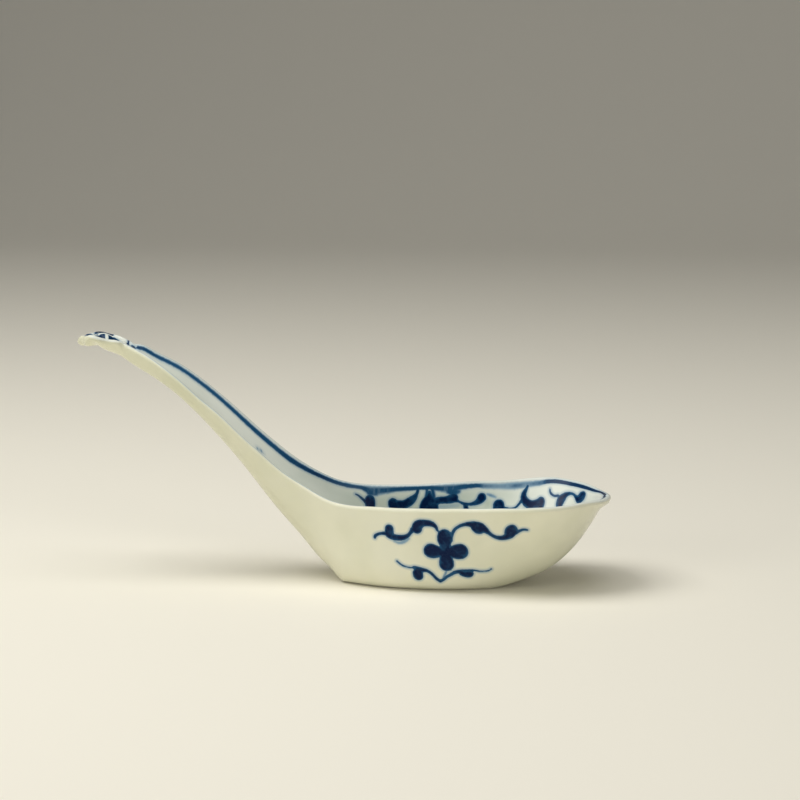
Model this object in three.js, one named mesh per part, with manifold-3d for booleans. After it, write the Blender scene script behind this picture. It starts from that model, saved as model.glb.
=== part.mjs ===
// Pierced spoon in glazed porcelain: a pear-shaped bowl with a flat foot and drain holes,
// a trough-shaped handle that sweeps up from the heel, and a moulded flower on the handle's end.
// Millimetres, +Z up. The origin is the middle of the foot's flat face, and +X points to the lip.
import * as THREE from "three";
import { mergeVertices } from "three/addons/utils/BufferGeometryUtils.js";
import Module from "manifold-3d";

const wasm = await Module();
wasm.setup();

// The wall along the middle underneath, which thins towards the lip, and the rounding
// under its sides
const wall = 2.1;
const lipWall = 1.5;
const cornerRound = 5;

// The bowl
const lipReach = 48.3;
const bowlWidth = 45;
const bowlDepth = 22.6;
const tipHeight = 21.3;
const footHalfLength = 18.7;

// The neck, where the handle leaves the bowl
const neckReach = 25;
const neckWidth = 26.6;
const neckEdgeHeight = 22.8;
const neckUnderHeight = 4.8;

// The handle
const handleRun = 59;
const handleEndWidth = 8;
const handleEdgeHeight = 59.6;
const handleEndThick = 1.7;
const channelLand = 1.1;
const channelRamp = 6;

// The drain holes in the foot: an inner ring and an outer oval round a solid middle
const holeBore = 2.8;
const innerHoles = 6;
const innerRingRadius = 4.9;
const outerHoles = 12;
const outerRingLength = 24.8;
const outerRingWidth = 16.8;

// The moulded flower on the handle's end: how far its middle lies inside that end, and how
// deep its flat seat is cut into the end's edge
const petals = 5;
const flowerInset = 1.5;
const flowerSeatDrop = 1.2;
const flowerRadius = 7.6;
const flowerThick = 3;
const flowerDroop = 2.3;
const flowerEdgeRound = 1.3;
const dishDepth = 1.2;
const tableRadius = 1.8;
const tableDrop = 0.4;

// The bead in the flower's middle
const beadRadius = 1.5;
const beadHeight = 0.9;

// One overrun serves every cut. Slopes are taken over this reach on either side, and points
// closer together than the last one become one.
const cutOver = 2;
const slopeReach = 0.3;
const mergeReach = 0.002;

// The outer face's outline, up to the edge where the lip's rounding starts.
// The handle from its end to the neck: along its run, width, edge height, underside height.
// A width of 1 is the neck's, and a height of 1 is the end's.
const handleShares = [
  [1.0, 0.0, 1.0, 1.0],
  [0.9, 0.08, 0.975, 0.962],
  [0.8, 0.25, 0.918, 0.901],
  [0.65, 0.43, 0.783, 0.787],
  [0.5, 0.55, 0.6, 0.629],
  [0.35, 0.625, 0.387, 0.44],
  [0.2, 0.702, 0.187, 0.233],
  [0.08, 0.837, 0.06, 0.091],
  [0.0, 1.0, 0.0, 0.0],
];

// The bowl behind the foot's middle: along the neck's reach, width, edge height
const backShares = [
  [0.75, 0.69, 0.93],
  [0.4, 0.773, 0.91],
];

// The bowl from the foot's middle forwards: along the lip's reach, width, edge height
const frontShares = [
  [0.0, 0.852, 0.923],
  [0.2, 0.925, 0.946],
  [0.4, 0.985, 0.966],
  [0.55, 1.0, 0.981],
  [0.7, 0.955, 0.988],
  [0.8, 0.83, 0.985],
  [0.9, 0.58, 0.97],
  [0.96, 0.345, 0.951],
  [0.99, 0.165, 0.942],
];

// The underside's rise from the foot to the tip, and from the foot to the neck
const bowShares = [
  [0.25, 0.07],
  [0.5, 0.215],
  [0.7, 0.455],
  [0.85, 0.75],
  [0.93, 0.92],
  [1.0, 1.0],
];
const heelShares = [
  [0.38, 0.28],
  [0.7, 0.69],
];

// Width of the flat underneath, before its corner is rounded, in widths of the edge above it:
// along the handle, along the neck's reach, and along the lip's reach
const handleFlatShares = [
  [1.0, 0.6],
  [0.5, 0.61],
  [0.0, 0.61],
];
const backFlatShares = [
  [0.75, 0.72],
  [0.4, 0.87],
];
const frontFlatShares = [
  [0.0, 0.88],
  [0.2, 0.79],
  [0.4, 0.6],
  [0.55, 0.45],
  [0.7, 0.36],
  [0.85, 0.31],
  [1.0, 0.3],
];

// The rounded corner: how much of the flat and of the side it may take, how much further it
// runs up the side than along the flat, and its fullness
const flatCutShare = 0.9;
const sideCutShare = 0.8;
const sideRunShare = 1.6;
const fullShare = 0.6;

// Where the flower starts to droop along the handle, short of its middle, in flower radii
const droopStartShare = 0.6;

// The flower's outline and its dished petals, in flower radii and petal widths
const notchShare = 0.81;
const bluntShare = 0.7;
const dishPlaceShare = 0.62;
const dishLengthShare = 0.27;
const dishWidthShare = 0.78;

// How finely the surfaces are divided
const bowlSteps = 46;
const handleSteps = 28;
const sideSteps = 14;
const lipSteps = 4;
const holeSides = 20;
const petalSteps = 12;
const petalRings = 9;
const edgeRings = 4;
const beadRings = 5;

const porcelain = { color: 0xe6e4d6, roughness: 0.12, metalness: 0 };
const paintedPorcelain = { color: 0xcdd6dc, roughness: 0.12, metalness: 0 };

const mix = (from, to, share) => from + (to - from) * share;

// A smooth curve through [place, value] pairs in rising order. It starts level where asked,
// and its other ends run straight.
function curveThrough(points, startsLevel = false) {
  const count = points.length;
  const gap = (i) => points[i + 1][0] - points[i][0];
  const slope = (i) => (points[i + 1][1] - points[i][1]) / gap(i);
  const carry = new Array(count).fill(0);
  const bend = new Array(count).fill(0);
  if (startsLevel) {
    carry[0] = 1 / 2;
    bend[0] = (3 * slope(0)) / gap(0);
  }
  for (let i = 1; i < count - 1; i += 1) {
    const pivot = 2 * (gap(i - 1) + gap(i)) - gap(i - 1) * carry[i - 1];
    carry[i] = gap(i) / pivot;
    bend[i] = (6 * (slope(i) - slope(i - 1)) - gap(i - 1) * bend[i - 1]) / pivot;
  }
  for (let i = count - 2; i >= 0; i -= 1) {
    bend[i] -= carry[i] * bend[i + 1];
  }
  return (place) => {
    const next = points.findIndex((point) => point[0] > place);
    const i = next < 0 ? count - 2 : Math.max(next - 1, 0);
    const before = (points[i + 1][0] - place) / gap(i);
    const after = 1 - before;
    const bulge = (before ** 3 - before) * bend[i] + (after ** 3 - after) * bend[i + 1];
    return before * points[i][1] + after * points[i + 1][1] + (bulge * gap(i) ** 2) / 6;
  };
}

// Places along X of the shares of the handle, the back of the bowl and its front
const handlePlace = (share) => -neckReach - share * handleRun;
const backPlace = (share) => -share * neckReach;
const frontPlace = (share) => share * lipReach;

// Half the width at the edge. Its square is what runs smoothly, so the tip closes round.
const squaredHalfWidth = curveThrough([
  ...handleShares.map(([along, width]) => [
    handlePlace(along),
    (mix(handleEndWidth, neckWidth, width) / 2) ** 2,
  ]),
  ...backShares.map(([along, width]) => [backPlace(along), ((width * bowlWidth) / 2) ** 2]),
  ...frontShares.map(([along, width]) => [frontPlace(along), ((width * bowlWidth) / 2) ** 2]),
  [lipReach, 0],
]);

// Height of the outer face's upper edge
const edgeHeight = curveThrough([
  ...handleShares.map(([along, , rise]) => [
    handlePlace(along),
    mix(neckEdgeHeight, handleEdgeHeight, rise),
  ]),
  ...backShares.map(([along, , rise]) => [backPlace(along), rise * bowlDepth]),
  ...frontShares.map(([along, , rise]) => [frontPlace(along), rise * bowlDepth]),
  [lipReach, tipHeight],
]);

// Height of the underside: level over the foot, rising to the tip and up the handle
const bowRun = lipReach - footHalfLength;
const heelRun = neckReach - footHalfLength;
const handleUnderHeight = handleEdgeHeight - handleEndThick;
const bowHeight = curveThrough(
  [[0, 0], ...bowShares.map(([along, rise]) => [along * bowRun, rise * tipHeight])],
  true,
);
const heelHeight = curveThrough(
  [
    [0, 0],
    ...heelShares.map(([along, rise]) => [along * heelRun, rise * neckUnderHeight]),
    ...handleShares.toReversed().map(([along, , , rise]) => [
      heelRun + along * handleRun,
      mix(neckUnderHeight, handleUnderHeight, rise),
    ]),
  ],
  true,
);

function underHeight(x) {
  if (x > footHalfLength) {
    return bowHeight(x - footHalfLength);
  }
  return x < -footHalfLength ? heelHeight(-x - footHalfLength) : 0;
}

const flatShare = curveThrough([
  ...handleFlatShares.map(([along, share]) => [handlePlace(along), share]),
  ...backFlatShares.map(([along, share]) => [backPlace(along), share]),
  ...frontFlatShares.map(([along, share]) => [frontPlace(along), share]),
]);

// The outer face at x, from the middle underneath to the +Y edge
function outerSide(x) {
  const under = underHeight(x);
  const height = edgeHeight(x) - under;
  const half = Math.sqrt(squaredHalfWidth(x));
  const flat = half * flatShare(x);
  const slant = Math.hypot(half - flat, height);
  const flatCut = Math.min(cornerRound, flatCutShare * flat);
  const sideCut = Math.min(cornerRound * sideRunShare, sideCutShare * slant);
  const up = new THREE.Vector2(half - flat, height).divideScalar(slant);
  const corner = new THREE.Vector2(flat, 0);
  const ease = corner.clone().addScaledVector(up, sideCut * (1 - fullShare));
  const side = corner.clone().addScaledVector(up, sideCut);
  const outline = new THREE.Path();
  outline.lineTo(flat - flatCut, 0);
  outline.bezierCurveTo(flat - flatCut * (1 - fullShare), 0, ease.x, ease.y, side.x, side.y);
  outline.lineTo(half, height);
  return outline
    .getSpacedPoints(sideSteps)
    .map((point) => new THREE.Vector3(x, point.x, under + point.y));
}

// Turns a unit vector into the section's plane, lengthened so that the wall keeps its thickness.
// Only the bow, which faces forwards, keeps vectors that leave the plane.
function settled(x, vector) {
  const inPlane = new THREE.Vector3(0, vector.y, vector.z);
  inPlane.divideScalar(inPlane.lengthSq());
  return inPlane.lerp(vector, THREE.MathUtils.smoothstep(x, 0, footHalfLength));
}

// The +Y wall's profile from its outer face and the vectors out of it and up from its edge:
// up the outer face, over the round lip and down the inner face. At a depth share of 0 the
// trough inside is full.
function wallOf(outer, outward, upward, depthShare = 1) {
  const thick = (i) => mix(wall, lipWall, (i / sideSteps) ** 2);
  const inner = outer.map((point, i) => point.clone().addScaledVector(outward[i], -thick(i)));
  const middle = outer.at(-1).clone().lerp(inner.at(-1), 1 / 2);
  inner.forEach((point) => point.setZ(mix(middle.z, point.z, depthShare)));
  const lip = [];
  for (let i = 1; i < lipSteps; i += 1) {
    const turn = (Math.PI * i) / lipSteps;
    const point = middle.clone().addScaledVector(outward.at(-1), (Math.cos(turn) * lipWall) / 2);
    lip.push(point.addScaledVector(upward, (Math.sin(turn) * lipWall) / 2));
  }
  return [...outer, ...lip, ...inner.reverse()];
}

function wallAt(x, depthShare = 1) {
  const step = Math.min(slopeReach, (lipReach - x) / 2);
  const outer = outerSide(x);
  const ahead = outerSide(x + step);
  const runs = outerSide(x - step).map((point, i) => ahead[i].clone().sub(point));
  const units = outer.map((point, i) => {
    const before = i === 0 ? outer[1].clone().setY(-outer[1].y) : outer[i - 1];
    return (outer[i + 1] ?? point).clone().sub(before).cross(runs[i]).normalize();
  });
  const upward = runs.at(-1).clone().cross(units.at(-1)).normalize();
  const outward = units.map((unit) => settled(x, unit));
  return wallOf(outer, outward, settled(x, upward), depthShare);
}

// At the tip both sides run together in one upright profile
function tipWall() {
  const rise = tipHeight - underHeight(lipReach - slopeReach);
  const outer = new Array(sideSteps + 1).fill(new THREE.Vector3(lipReach, 0, tipHeight));
  const outward = outer.map(() => new THREE.Vector3(rise, 0, -slopeReach).normalize());
  return wallOf(outer, outward, new THREE.Vector3(slopeReach, 0, rise).normalize());
}

// A closed loop out of a +Y profile and its mirror image
const looped = (profile) => [
  ...profile,
  ...profile.slice(1, -1).map((point) => point.clone().setY(-point.y)).reverse(),
];

// The same profile with its outer and inner points brought together, which closes an end
const closed = (profile) => profile.map((point, i) => point.clone().lerp(profile.at(-1 - i), 1 / 2));

// A closed surface over loops with equal numbers of points. The first and the last loop have
// run together, in a point or along a line.
function skin(loops) {
  const corners = [];
  loops.slice(1).forEach((loop, i) => {
    loop.forEach((point, j) => {
      const next = (j + 1) % loop.length;
      corners.push(loops[i][j], loops[i][next], loop[next]);
      corners.push(loops[i][j], loop[next], point);
    });
  });
  return new THREE.BufferGeometry().setFromPoints(corners);
}

// The solid that a closed surface bounds. Triangles between points that have merged go.
function solidOf(surface) {
  const bare = new THREE.BufferGeometry();
  const flat = surface.index ? surface.toNonIndexed() : surface;
  bare.setAttribute("position", flat.getAttribute("position"));
  const merged = mergeVertices(bare, mergeReach);
  const corners = [];
  for (let i = 0; i < merged.index.count; i += 3) {
    const [a, b, c] = merged.index.array.slice(i, i + 3);
    if (a !== b && b !== c && c !== a) {
      corners.push(a, b, c);
    }
  }
  const mesh = new wasm.Mesh({
    numProp: 3,
    vertProperties: merged.getAttribute("position").array,
    triVerts: new Uint32Array(corners),
  });
  return new wasm.Manifold(mesh);
}

const flowerReach = neckReach + handleRun - flowerInset;
const flowerSeatHeight = handleEdgeHeight - flowerSeatDrop;

const part = new THREE.Group();

function place(name, solid, look) {
  const mesh = solid.getMesh();
  const geometry = new THREE.BufferGeometry();
  geometry.setAttribute("position", new THREE.BufferAttribute(mesh.vertProperties, 3));
  geometry.setIndex(new THREE.BufferAttribute(mesh.triVerts, 1));
  geometry.computeVertexNormals();
  const piece = new THREE.Mesh(geometry, new THREE.MeshStandardMaterial(look));
  piece.name = name;
  part.add(piece);
}

// Bowl: its stations crowd together towards the tip, where the lip turns round
const bowlLoops = [looped(closed(wallAt(-neckReach)))];
for (let i = 0; i < bowlSteps; i += 1) {
  const along = Math.sin((Math.PI * i) / (2 * bowlSteps));
  bowlLoops.push(looped(wallAt(mix(-neckReach, lipReach, along))));
}
bowlLoops.push(looped(tipWall()));

// Drain holes, cut square through the foot
const holePlaces = [];
for (let i = 0; i < innerHoles; i += 1) {
  const turn = (2 * Math.PI * i) / innerHoles;
  holePlaces.push([innerRingRadius * Math.cos(turn), innerRingRadius * Math.sin(turn)]);
}
for (let i = 0; i < outerHoles; i += 1) {
  const turn = (2 * Math.PI * (i + 1 / 2)) / outerHoles;
  const length = (outerRingLength / 2) * Math.cos(turn);
  holePlaces.push([length, (outerRingWidth / 2) * Math.sin(turn)]);
}
const drillLength = wall + 2 * cutOver;
const drill = new THREE.CylinderGeometry(holeBore / 2, holeBore / 2, drillLength, holeSides)
  .rotateX(Math.PI / 2);
const bowl = holePlaces.reduce(
  (solid, [x, y]) => solid.subtract(solidOf(drill.clone().translate(x, y, wall / 2))),
  solidOf(skin(bowlLoops)),
);
place("bowl", bowl, porcelain);

// Flower: one petal points away from the bowl
const petalTurn = (2 * Math.PI) / petals;
const fromPetal = (turn) => turn - Math.round(turn / petalTurn) * petalTurn;
const flowerEdge = (turn) => {
  const bulge = Math.abs(Math.cos((Math.PI * fromPetal(turn)) / petalTurn)) ** bluntShare;
  return flowerRadius * mix(notchShare, 1, bulge);
};

// How deep the petals are hollowed at a share of the flower's radius
function dishAt(share, turn) {
  const length = (share - dishPlaceShare) / dishLengthShare;
  const width = fromPetal(turn) / ((petalTurn / 2) * dishWidthShare);
  return dishDepth * THREE.MathUtils.smoothstep(1 - Math.hypot(length, width), 0, 1);
}

// A ring about the flower's middle, set in from its edge, at a height that can follow the
// radius and turn. The flower and its bead droop more and more towards the bowl.
function flowerRing(inset, height) {
  const ring = [];
  for (let i = 0; i < petals * petalSteps; i += 1) {
    const turn = (2 * Math.PI * i) / (petals * petalSteps);
    const radius = inset(flowerEdge(turn));
    const ahead = Math.max(0, droopStartShare - (radius / flowerRadius) * Math.cos(turn));
    const droop = flowerDroop * (ahead / (droopStartShare + 1)) ** 2;
    ring.push(new THREE.Vector3(
      -flowerReach - radius * Math.cos(turn),
      -radius * Math.sin(turn),
      flowerSeatHeight + height(radius, turn) - droop,
    ));
  }
  return ring;
}

const topHeight = (radius, turn) => {
  const tableShare = 1 - THREE.MathUtils.smoothstep(radius, tableRadius, 2 * tableRadius);
  return flowerThick - tableDrop * tableShare - dishAt(radius / flowerEdge(turn), turn);
};
const flowerRings = [flowerRing(() => 0, () => 0)];
for (let i = 0; i <= 2 * edgeRings; i += 1) {
  const turn = (Math.PI * i) / (2 * edgeRings);
  const inset = flowerEdgeRound * (1 - Math.sin(turn));
  const height = mix(flowerEdgeRound, flowerThick - flowerEdgeRound, i / (2 * edgeRings))
    - flowerEdgeRound * Math.cos(turn);
  flowerRings.push(flowerRing((edge) => edge - inset, () => height));
}
for (let i = 1; i <= petalRings; i += 1) {
  const share = 1 - i / petalRings;
  flowerRings.push(flowerRing(
    (edge) => (edge - flowerEdgeRound) * share,
    (radius, turn) => topHeight(radius, turn),
  ));
}
const flower = solidOf(skin(flowerRings));
place("flower", flower, paintedPorcelain);

// Handle: its trough runs out just before the flower, and its end is cut to the flower's lower
// half, carried straight up
const cutTop = () => flowerThick + cutOver;
const seatRings = [
  ...flowerRings.slice(0, edgeRings + 2),
  flowerRing((edge) => edge, cutTop),
  flowerRing(() => 0, cutTop),
];
const channelStart = -flowerReach + flowerRadius * notchShare + channelLand;
const handleLoops = [looped(closed(wallAt(handlePlace(1), 0)))];
for (let i = 0; i <= handleSteps; i += 1) {
  const x = mix(handlePlace(1), -neckReach, i / handleSteps);
  const depthShare = THREE.MathUtils.smoothstep(x, channelStart, channelStart + channelRamp);
  handleLoops.push(looped(wallAt(x, depthShare)));
}
handleLoops.push(looped(closed(wallAt(-neckReach))));
place("handle", solidOf(skin(handleLoops)).subtract(solidOf(skin(seatRings))), porcelain);

// Bead: a low dome whose base, begun below the flower's table, is cut back to it
const tableHeight = flowerThick - tableDrop;
const beadLoops = [flowerRing(() => 0, () => tableHeight - tableDrop)];
beadLoops.push(flowerRing(() => beadRadius, () => tableHeight - tableDrop));
for (let i = 0; i <= beadRings; i += 1) {
  const turn = (Math.PI * i) / (2 * beadRings);
  const height = tableHeight + beadHeight * Math.sin(turn);
  beadLoops.push(flowerRing(() => beadRadius * Math.cos(turn), () => height));
}
place("bead", solidOf(skin(beadLoops)).subtract(flower), porcelain);

export default part;
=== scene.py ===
# Pierced spoon: one fired piece of blue-painted porcelain, shaped, painted and lit around its frame.
import math

import bmesh
import bpy
import numpy as np
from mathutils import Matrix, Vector
from mathutils.geometry import delaunay_2d_cdt


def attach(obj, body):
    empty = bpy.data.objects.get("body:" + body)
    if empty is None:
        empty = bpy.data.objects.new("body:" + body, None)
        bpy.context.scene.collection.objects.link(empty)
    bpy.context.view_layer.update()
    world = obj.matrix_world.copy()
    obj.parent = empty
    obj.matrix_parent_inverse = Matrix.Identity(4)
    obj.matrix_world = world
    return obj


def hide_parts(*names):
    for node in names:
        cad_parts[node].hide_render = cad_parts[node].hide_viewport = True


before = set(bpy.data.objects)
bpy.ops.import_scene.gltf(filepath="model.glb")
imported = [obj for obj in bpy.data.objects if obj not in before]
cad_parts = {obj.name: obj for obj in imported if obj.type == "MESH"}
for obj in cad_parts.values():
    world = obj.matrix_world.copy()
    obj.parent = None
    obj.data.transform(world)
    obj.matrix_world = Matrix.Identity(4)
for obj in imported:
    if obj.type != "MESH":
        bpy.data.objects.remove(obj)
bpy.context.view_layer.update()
mm = 0.001
print("frame loaded")

# The spoon's own sizes in millimetres, as its frame has them. The origin is the middle of the
# foot, +X points to the lip and a share of 1 along the handle is its end.
spoon = {
    "wall": 2.1,
    "lipWall": 1.5,
    "cornerRound": 5.0,
    "sideRunShare": 1.6,
    "flatCutShare": 0.9,
    "sideCutShare": 0.8,
    "fullShare": 0.6,
    "lipReach": 48.3,
    "bowlWidth": 45.0,
    "bowlDepth": 22.6,
    "tipHeight": 21.3,
    "footHalfLength": 18.7,
    "neckReach": 25.0,
    "neckWidth": 26.6,
    "neckEdgeHeight": 22.8,
    "neckUnderHeight": 4.8,
    "handleRun": 59.0,
    "handleEndWidth": 8.0,
    "handleEdgeHeight": 59.6,
    "handleUnderHeight": 57.9,
    "jointReach": 74.0,  # the flower's mesh takes over from here
    "jointMargin": 0.2,
    "slopeReach": 0.3,
    "rimWobble": 0.03,
    "wobbleTurn": (0.61, 0.6),  # turn for each millimetre, and turn at the origin
    "cornerCrowd": 1.3,
    "pointFacing": (0.49, 0, -0.87),  # the way the outer face looks at the lip's point
    "heelEase": (15, 17.5, 21.5, 24.5),  # reaches between which the inner face is eased
    "stemEase": (18, 26),
    "heelPasses": 30,
    "stemPasses": 9,
    "farDrift": [
        (-95, -0.4), (-90, -0.6), (-88.5, -0.5), (-86.3, -0.4), (-84.8, -0.95), (-83, -0.95), (-81, -0.7),
        (-79, -0.6), (-77, -0.45), (-75.5, -0.2), (-74, 0.1), (-72.5, -0.05), (-71, -0.3), (-68.5, -0.3),
        (-65, -0.08), (-60, -0.08), (-40, -0.1), (-28.5, -0.2), (-23.5, -0.34), (-16, -0.08), (0, -0.14),
        (10, -0.15), (17.5, -0.36), (22.5, -0.27), (28, 0.1), (36, 0.08), (45, 0), (47, 0.1), (48.3, 0.5),
    ],
    "nearDrift": [
        (-95, -0.1), (-86, -0.08), (-83, 0.18), (-81, 0.02), (-80, 0.15), (-78.3, 0.72), (-77, 0.76),
        (-75, 0.64), (-73, 0.5), (-70.5, 0.45), (-66, 0.25), (-60, -0.2), (-56.5, -0.36), (-52, 0.05),
        (-46, 0.15), (-38, 0.05), (-33, 0), (-28, 0.2), (-22, -0.05), (-15, 0.15), (-7, 0.22), (2, 0.1),
        (15, 0.05), (30, -0.05), (38, 0.08), (41, 0.22), (43.3, 0.4), (45.3, 0.46), (47, 0.45),
        (48.3, 0.5),
    ],
    "underDrift": [
        (-95, 0.38), (-84, 0.38), (-80, 0.34), (-78.3, 0.3), (-76.5, -0.05), (-74, -0.22), (-70, -0.08),
        (-66, 0), (-40, 0), (0, 0), (50, 0),
    ],
    "handleShares": [
        (1, 0, 1, 1), (0.9, 0.08, 0.975, 0.962), (0.8, 0.25, 0.918, 0.901), (0.65, 0.43, 0.783, 0.787),
        (0.5, 0.55, 0.6, 0.629), (0.35, 0.625, 0.387, 0.44), (0.2, 0.702, 0.187, 0.233),
        (0.08, 0.837, 0.06, 0.091), (0, 1, 0, 0),
    ],
    "backShares": [(0.75, 0.69, 0.93), (0.4, 0.773, 0.91)],
    "frontShares": [
        (0, 0.852, 0.923), (0.2, 0.925, 0.946), (0.4, 0.985, 0.966), (0.55, 1, 0.981),
        (0.7, 0.955, 0.988), (0.8, 0.83, 0.985), (0.9, 0.58, 0.97), (0.96, 0.345, 0.951),
        (0.99, 0.165, 0.942),
    ],
    "bowShares": [
        (0.25, 0.07), (0.5, 0.215), (0.7, 0.452), (0.78, 0.592), (0.85, 0.745), (0.89, 0.838),
        (0.92, 0.912), (0.95, 0.953), (1, 1),
    ],
    "heelShares": [(0.2, 0.13), (0.4, 0.36), (0.7, 0.72)],
    "handleFlatShares": [(1, 0.6), (0.5, 0.61), (0, 0.61)],
    "backFlatShares": [(0.75, 0.72), (0.4, 0.87)],
    "frontFlatShares": [
        (0, 0.88), (0.2, 0.79), (0.4, 0.6), (0.55, 0.45), (0.7, 0.36), (0.85, 0.31), (1, 0.3),
    ],
}

# The flower on the handle's end, in millimetres. Its turn is 0 where it points away from the bowl.
flower = {
    "middle": -82.5,
    "end": -90.1,
    "radius": 7.6,
    "petals": 5,
    "notchShare": 0.12,
    "seatHeight": 59.2,
    "rimRise": 1.4,
    "noseLift": 0.6,
    "noseHeight": 60.2,
    "noseRound": 1.5,
    "droop": 2.3,
    "droopStartShare": 0.6,
    "flatShare": 0.88,
    "cornerRound": 1.7,
    "dishDepth": 1.3,
    "dishPlaceShare": 0.54,
    "dishLengthShare": 0.36,
    "dishWidthShare": 0.86,
    "ridgeRise": 0.3,
    "backRidgeRise": 1.0,
    "ridgeWidth": 0.65,
    "bossRise": 0.95,
    "bossRadius": 2.3,
    "noseSag": 0.3,
    "nearPaintPlace": 0.47,
    "nearPaintLength": 0.42,
    "farPaintPlace": 0.66,
    "farPaintLength": 0.45,
    "gapPlace": -78.0,
    "troughStart": -76.4,
    "leastWall": 0.7,
    "sinkStart": -77.6,
    "troughRamp": 5.0,
    "gapDepth": 0.55,
    "gapShare": 1.03,
    "gapWidth": 0.06,
    "liftFade": (-86.5, -81),
    "headFade": (-86.5, -83.5),
    "sagReach": (86.8, 89.2),
    "leanReach": (83.5, 89.3),
    "stemCurl": 0.2,
    "noseFacing": (-0.9, 0, -0.44),  # the way the outer face looks at the flower's tip
    "blendRound": 0.5,
    "blendFull": 78,
    "hollowEdge": (0, 0.8),
    "ridgeStart": (0.1, 0.3),
    "rimStart": 0.7,
    "rimEnds": (0.84, 0.9),
    "backCosines": (0.85, 0.97),
    "gapCosines": (0.7, 0.95),
    "farSide": (0.5, 3),
    "farSideEnd": (-83, -80.5),
    "farPaintSpread": 1.25,
    "paintSize": 0.86,
    "outlineSteps": 2400,
}

# Drain holes through the foot
drain = {
    "bore": 2.8,
    "edgeRound": 0.35,
    "collar": 0.25,
    "innerHoles": 6,
    "innerRingRadius": 4.9,
    "outerHoles": 12,
    "outerRingLength": 24.8,
    "outerRingWidth": 16.8,
    "patchReach": 14.6,
    "patchHalfWidth": 13,
    "patchStep": 0.75,
    "sides": 36,
    "arcSteps": 6,
    "unevenness": 0.02,
}


def smoothStep(value, low, high):
    # 3s^2 - 2s^3, where s runs from 0 at low to 1 at high
    share = np.clip((value - low) / (high - low), 0, 1)
    return share * share * (3 - 2 * share)


def mixed(first, second, share):
    return first + (second - first) * share


def greater(first, second, reach):
    # the greater of two values, rounded over where they cross: (a + b + sqrt((a - b)^2 + reach^2)) / 2
    return (first + second + np.sqrt((first - second) ** 2 + reach**2)) / 2


def naturalCurve(points, startsLevel=False):
    # a cubic through the points with continuous bend, none at its ends, or no slope at its start
    places, values = np.array(points, float).T
    gaps, last = np.diff(places), len(places) - 1
    slopes = np.diff(values) / gaps
    system, bends = np.eye(last + 1), np.zeros(last + 1)
    inner = np.arange(1, last)
    system[inner, inner - 1] = gaps[:-1]
    system[inner, inner] = 2 * (gaps[:-1] + gaps[1:])
    system[inner, inner + 1] = gaps[1:]
    bends[inner] = 6 * np.diff(slopes)
    if startsLevel:
        system[0, :2] = 2, 1
        bends[0] = 6 * slopes[0] / gaps[0]
    bends = np.linalg.solve(system, bends)

    def curve(place):
        i = np.clip(np.searchsorted(places, place, side="right") - 1, 0, last - 1)
        before = (places[i + 1] - place) / gaps[i]
        after = 1 - before
        bulge = (before**3 - before) * bends[i] + (after**3 - after) * bends[i + 1]
        return before * values[i] + after * values[i + 1] + bulge * gaps[i] ** 2 / 6

    return curve


def handlePlace(share):
    return -spoon["neckReach"] - share * spoon["handleRun"]


def alongSpoon(handleRows, backRows, frontRows, tipRows=()):
    # one rising list of (x, value) from tables given along the handle, the neck and the lip
    return (
        [(handlePlace(share), value) for share, value in handleRows]
        + [(-share * spoon["neckReach"], value) for share, value in backRows]
        + [(share * spoon["lipReach"], value) for share, value in frontRows]
        + list(tipRows)
    )


def bowlHalf(share):
    return (share * spoon["bowlWidth"] / 2) ** 2


def handleHalf(share):
    return (mixed(spoon["handleEndWidth"], spoon["neckWidth"], share) / 2) ** 2


squaredHalfWidth = naturalCurve(
    alongSpoon(
        [(row[0], handleHalf(row[1])) for row in spoon["handleShares"]],
        [(row[0], bowlHalf(row[1])) for row in spoon["backShares"]],
        [(row[0], bowlHalf(row[1])) for row in spoon["frontShares"]],
        [(spoon["lipReach"], 0)],
    )
)
spoonEdge = naturalCurve(
    alongSpoon(
        [
            (row[0], mixed(spoon["neckEdgeHeight"], spoon["handleEdgeHeight"], row[2]))
            for row in spoon["handleShares"]
        ],
        [(row[0], row[2] * spoon["bowlDepth"]) for row in spoon["backShares"]],
        [(row[0], row[2] * spoon["bowlDepth"]) for row in spoon["frontShares"]],
        [(spoon["lipReach"], spoon["tipHeight"])],
    )
)
spoonFlat = naturalCurve(
    alongSpoon(spoon["handleFlatShares"], spoon["backFlatShares"], spoon["frontFlatShares"])
)
farDrift, nearDrift = naturalCurve(spoon["farDrift"]), naturalCurve(spoon["nearDrift"])
underDrift = naturalCurve(spoon["underDrift"])
bowRun = spoon["lipReach"] - spoon["footHalfLength"]
heelRun = spoon["neckReach"] - spoon["footHalfLength"]
bowHeight = naturalCurve(
    [(0, 0)] + [(along * bowRun, rise * spoon["tipHeight"]) for along, rise in spoon["bowShares"]], True
)
heelHeight = naturalCurve(
    [(0, 0)]
    + [(along * heelRun, rise * spoon["neckUnderHeight"]) for along, rise in spoon["heelShares"]]
    + [
        (
            heelRun + row[0] * spoon["handleRun"],
            mixed(spoon["neckUnderHeight"], spoon["handleUnderHeight"], row[3]),
        )
        for row in reversed(spoon["handleShares"])
    ],
    True,
)


def petalTurn(turn):
    # turn from the nearest petal's middle line
    step = 2 * math.pi / flower["petals"]
    return turn - np.round(turn / step) * step


def petalReach(turn):
    # the flower's outline: R * (1 - notch * ((1 - cos(petals * turn)) / 2)^1.5)
    dip = ((1 - np.cos(flower["petals"] * turn)) / 2) ** 1.5
    return flower["radius"] * (1 - flower["notchShare"] * dip)


outlineTurn = math.pi * np.linspace(0, 1, flower["outlineSteps"]) ** 2
outlineX = flower["middle"] - petalReach(outlineTurn) * np.cos(outlineTurn)
outlineY = petalReach(outlineTurn) * np.sin(outlineTurn)
farthest = int(np.argmax(outlineX))


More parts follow.
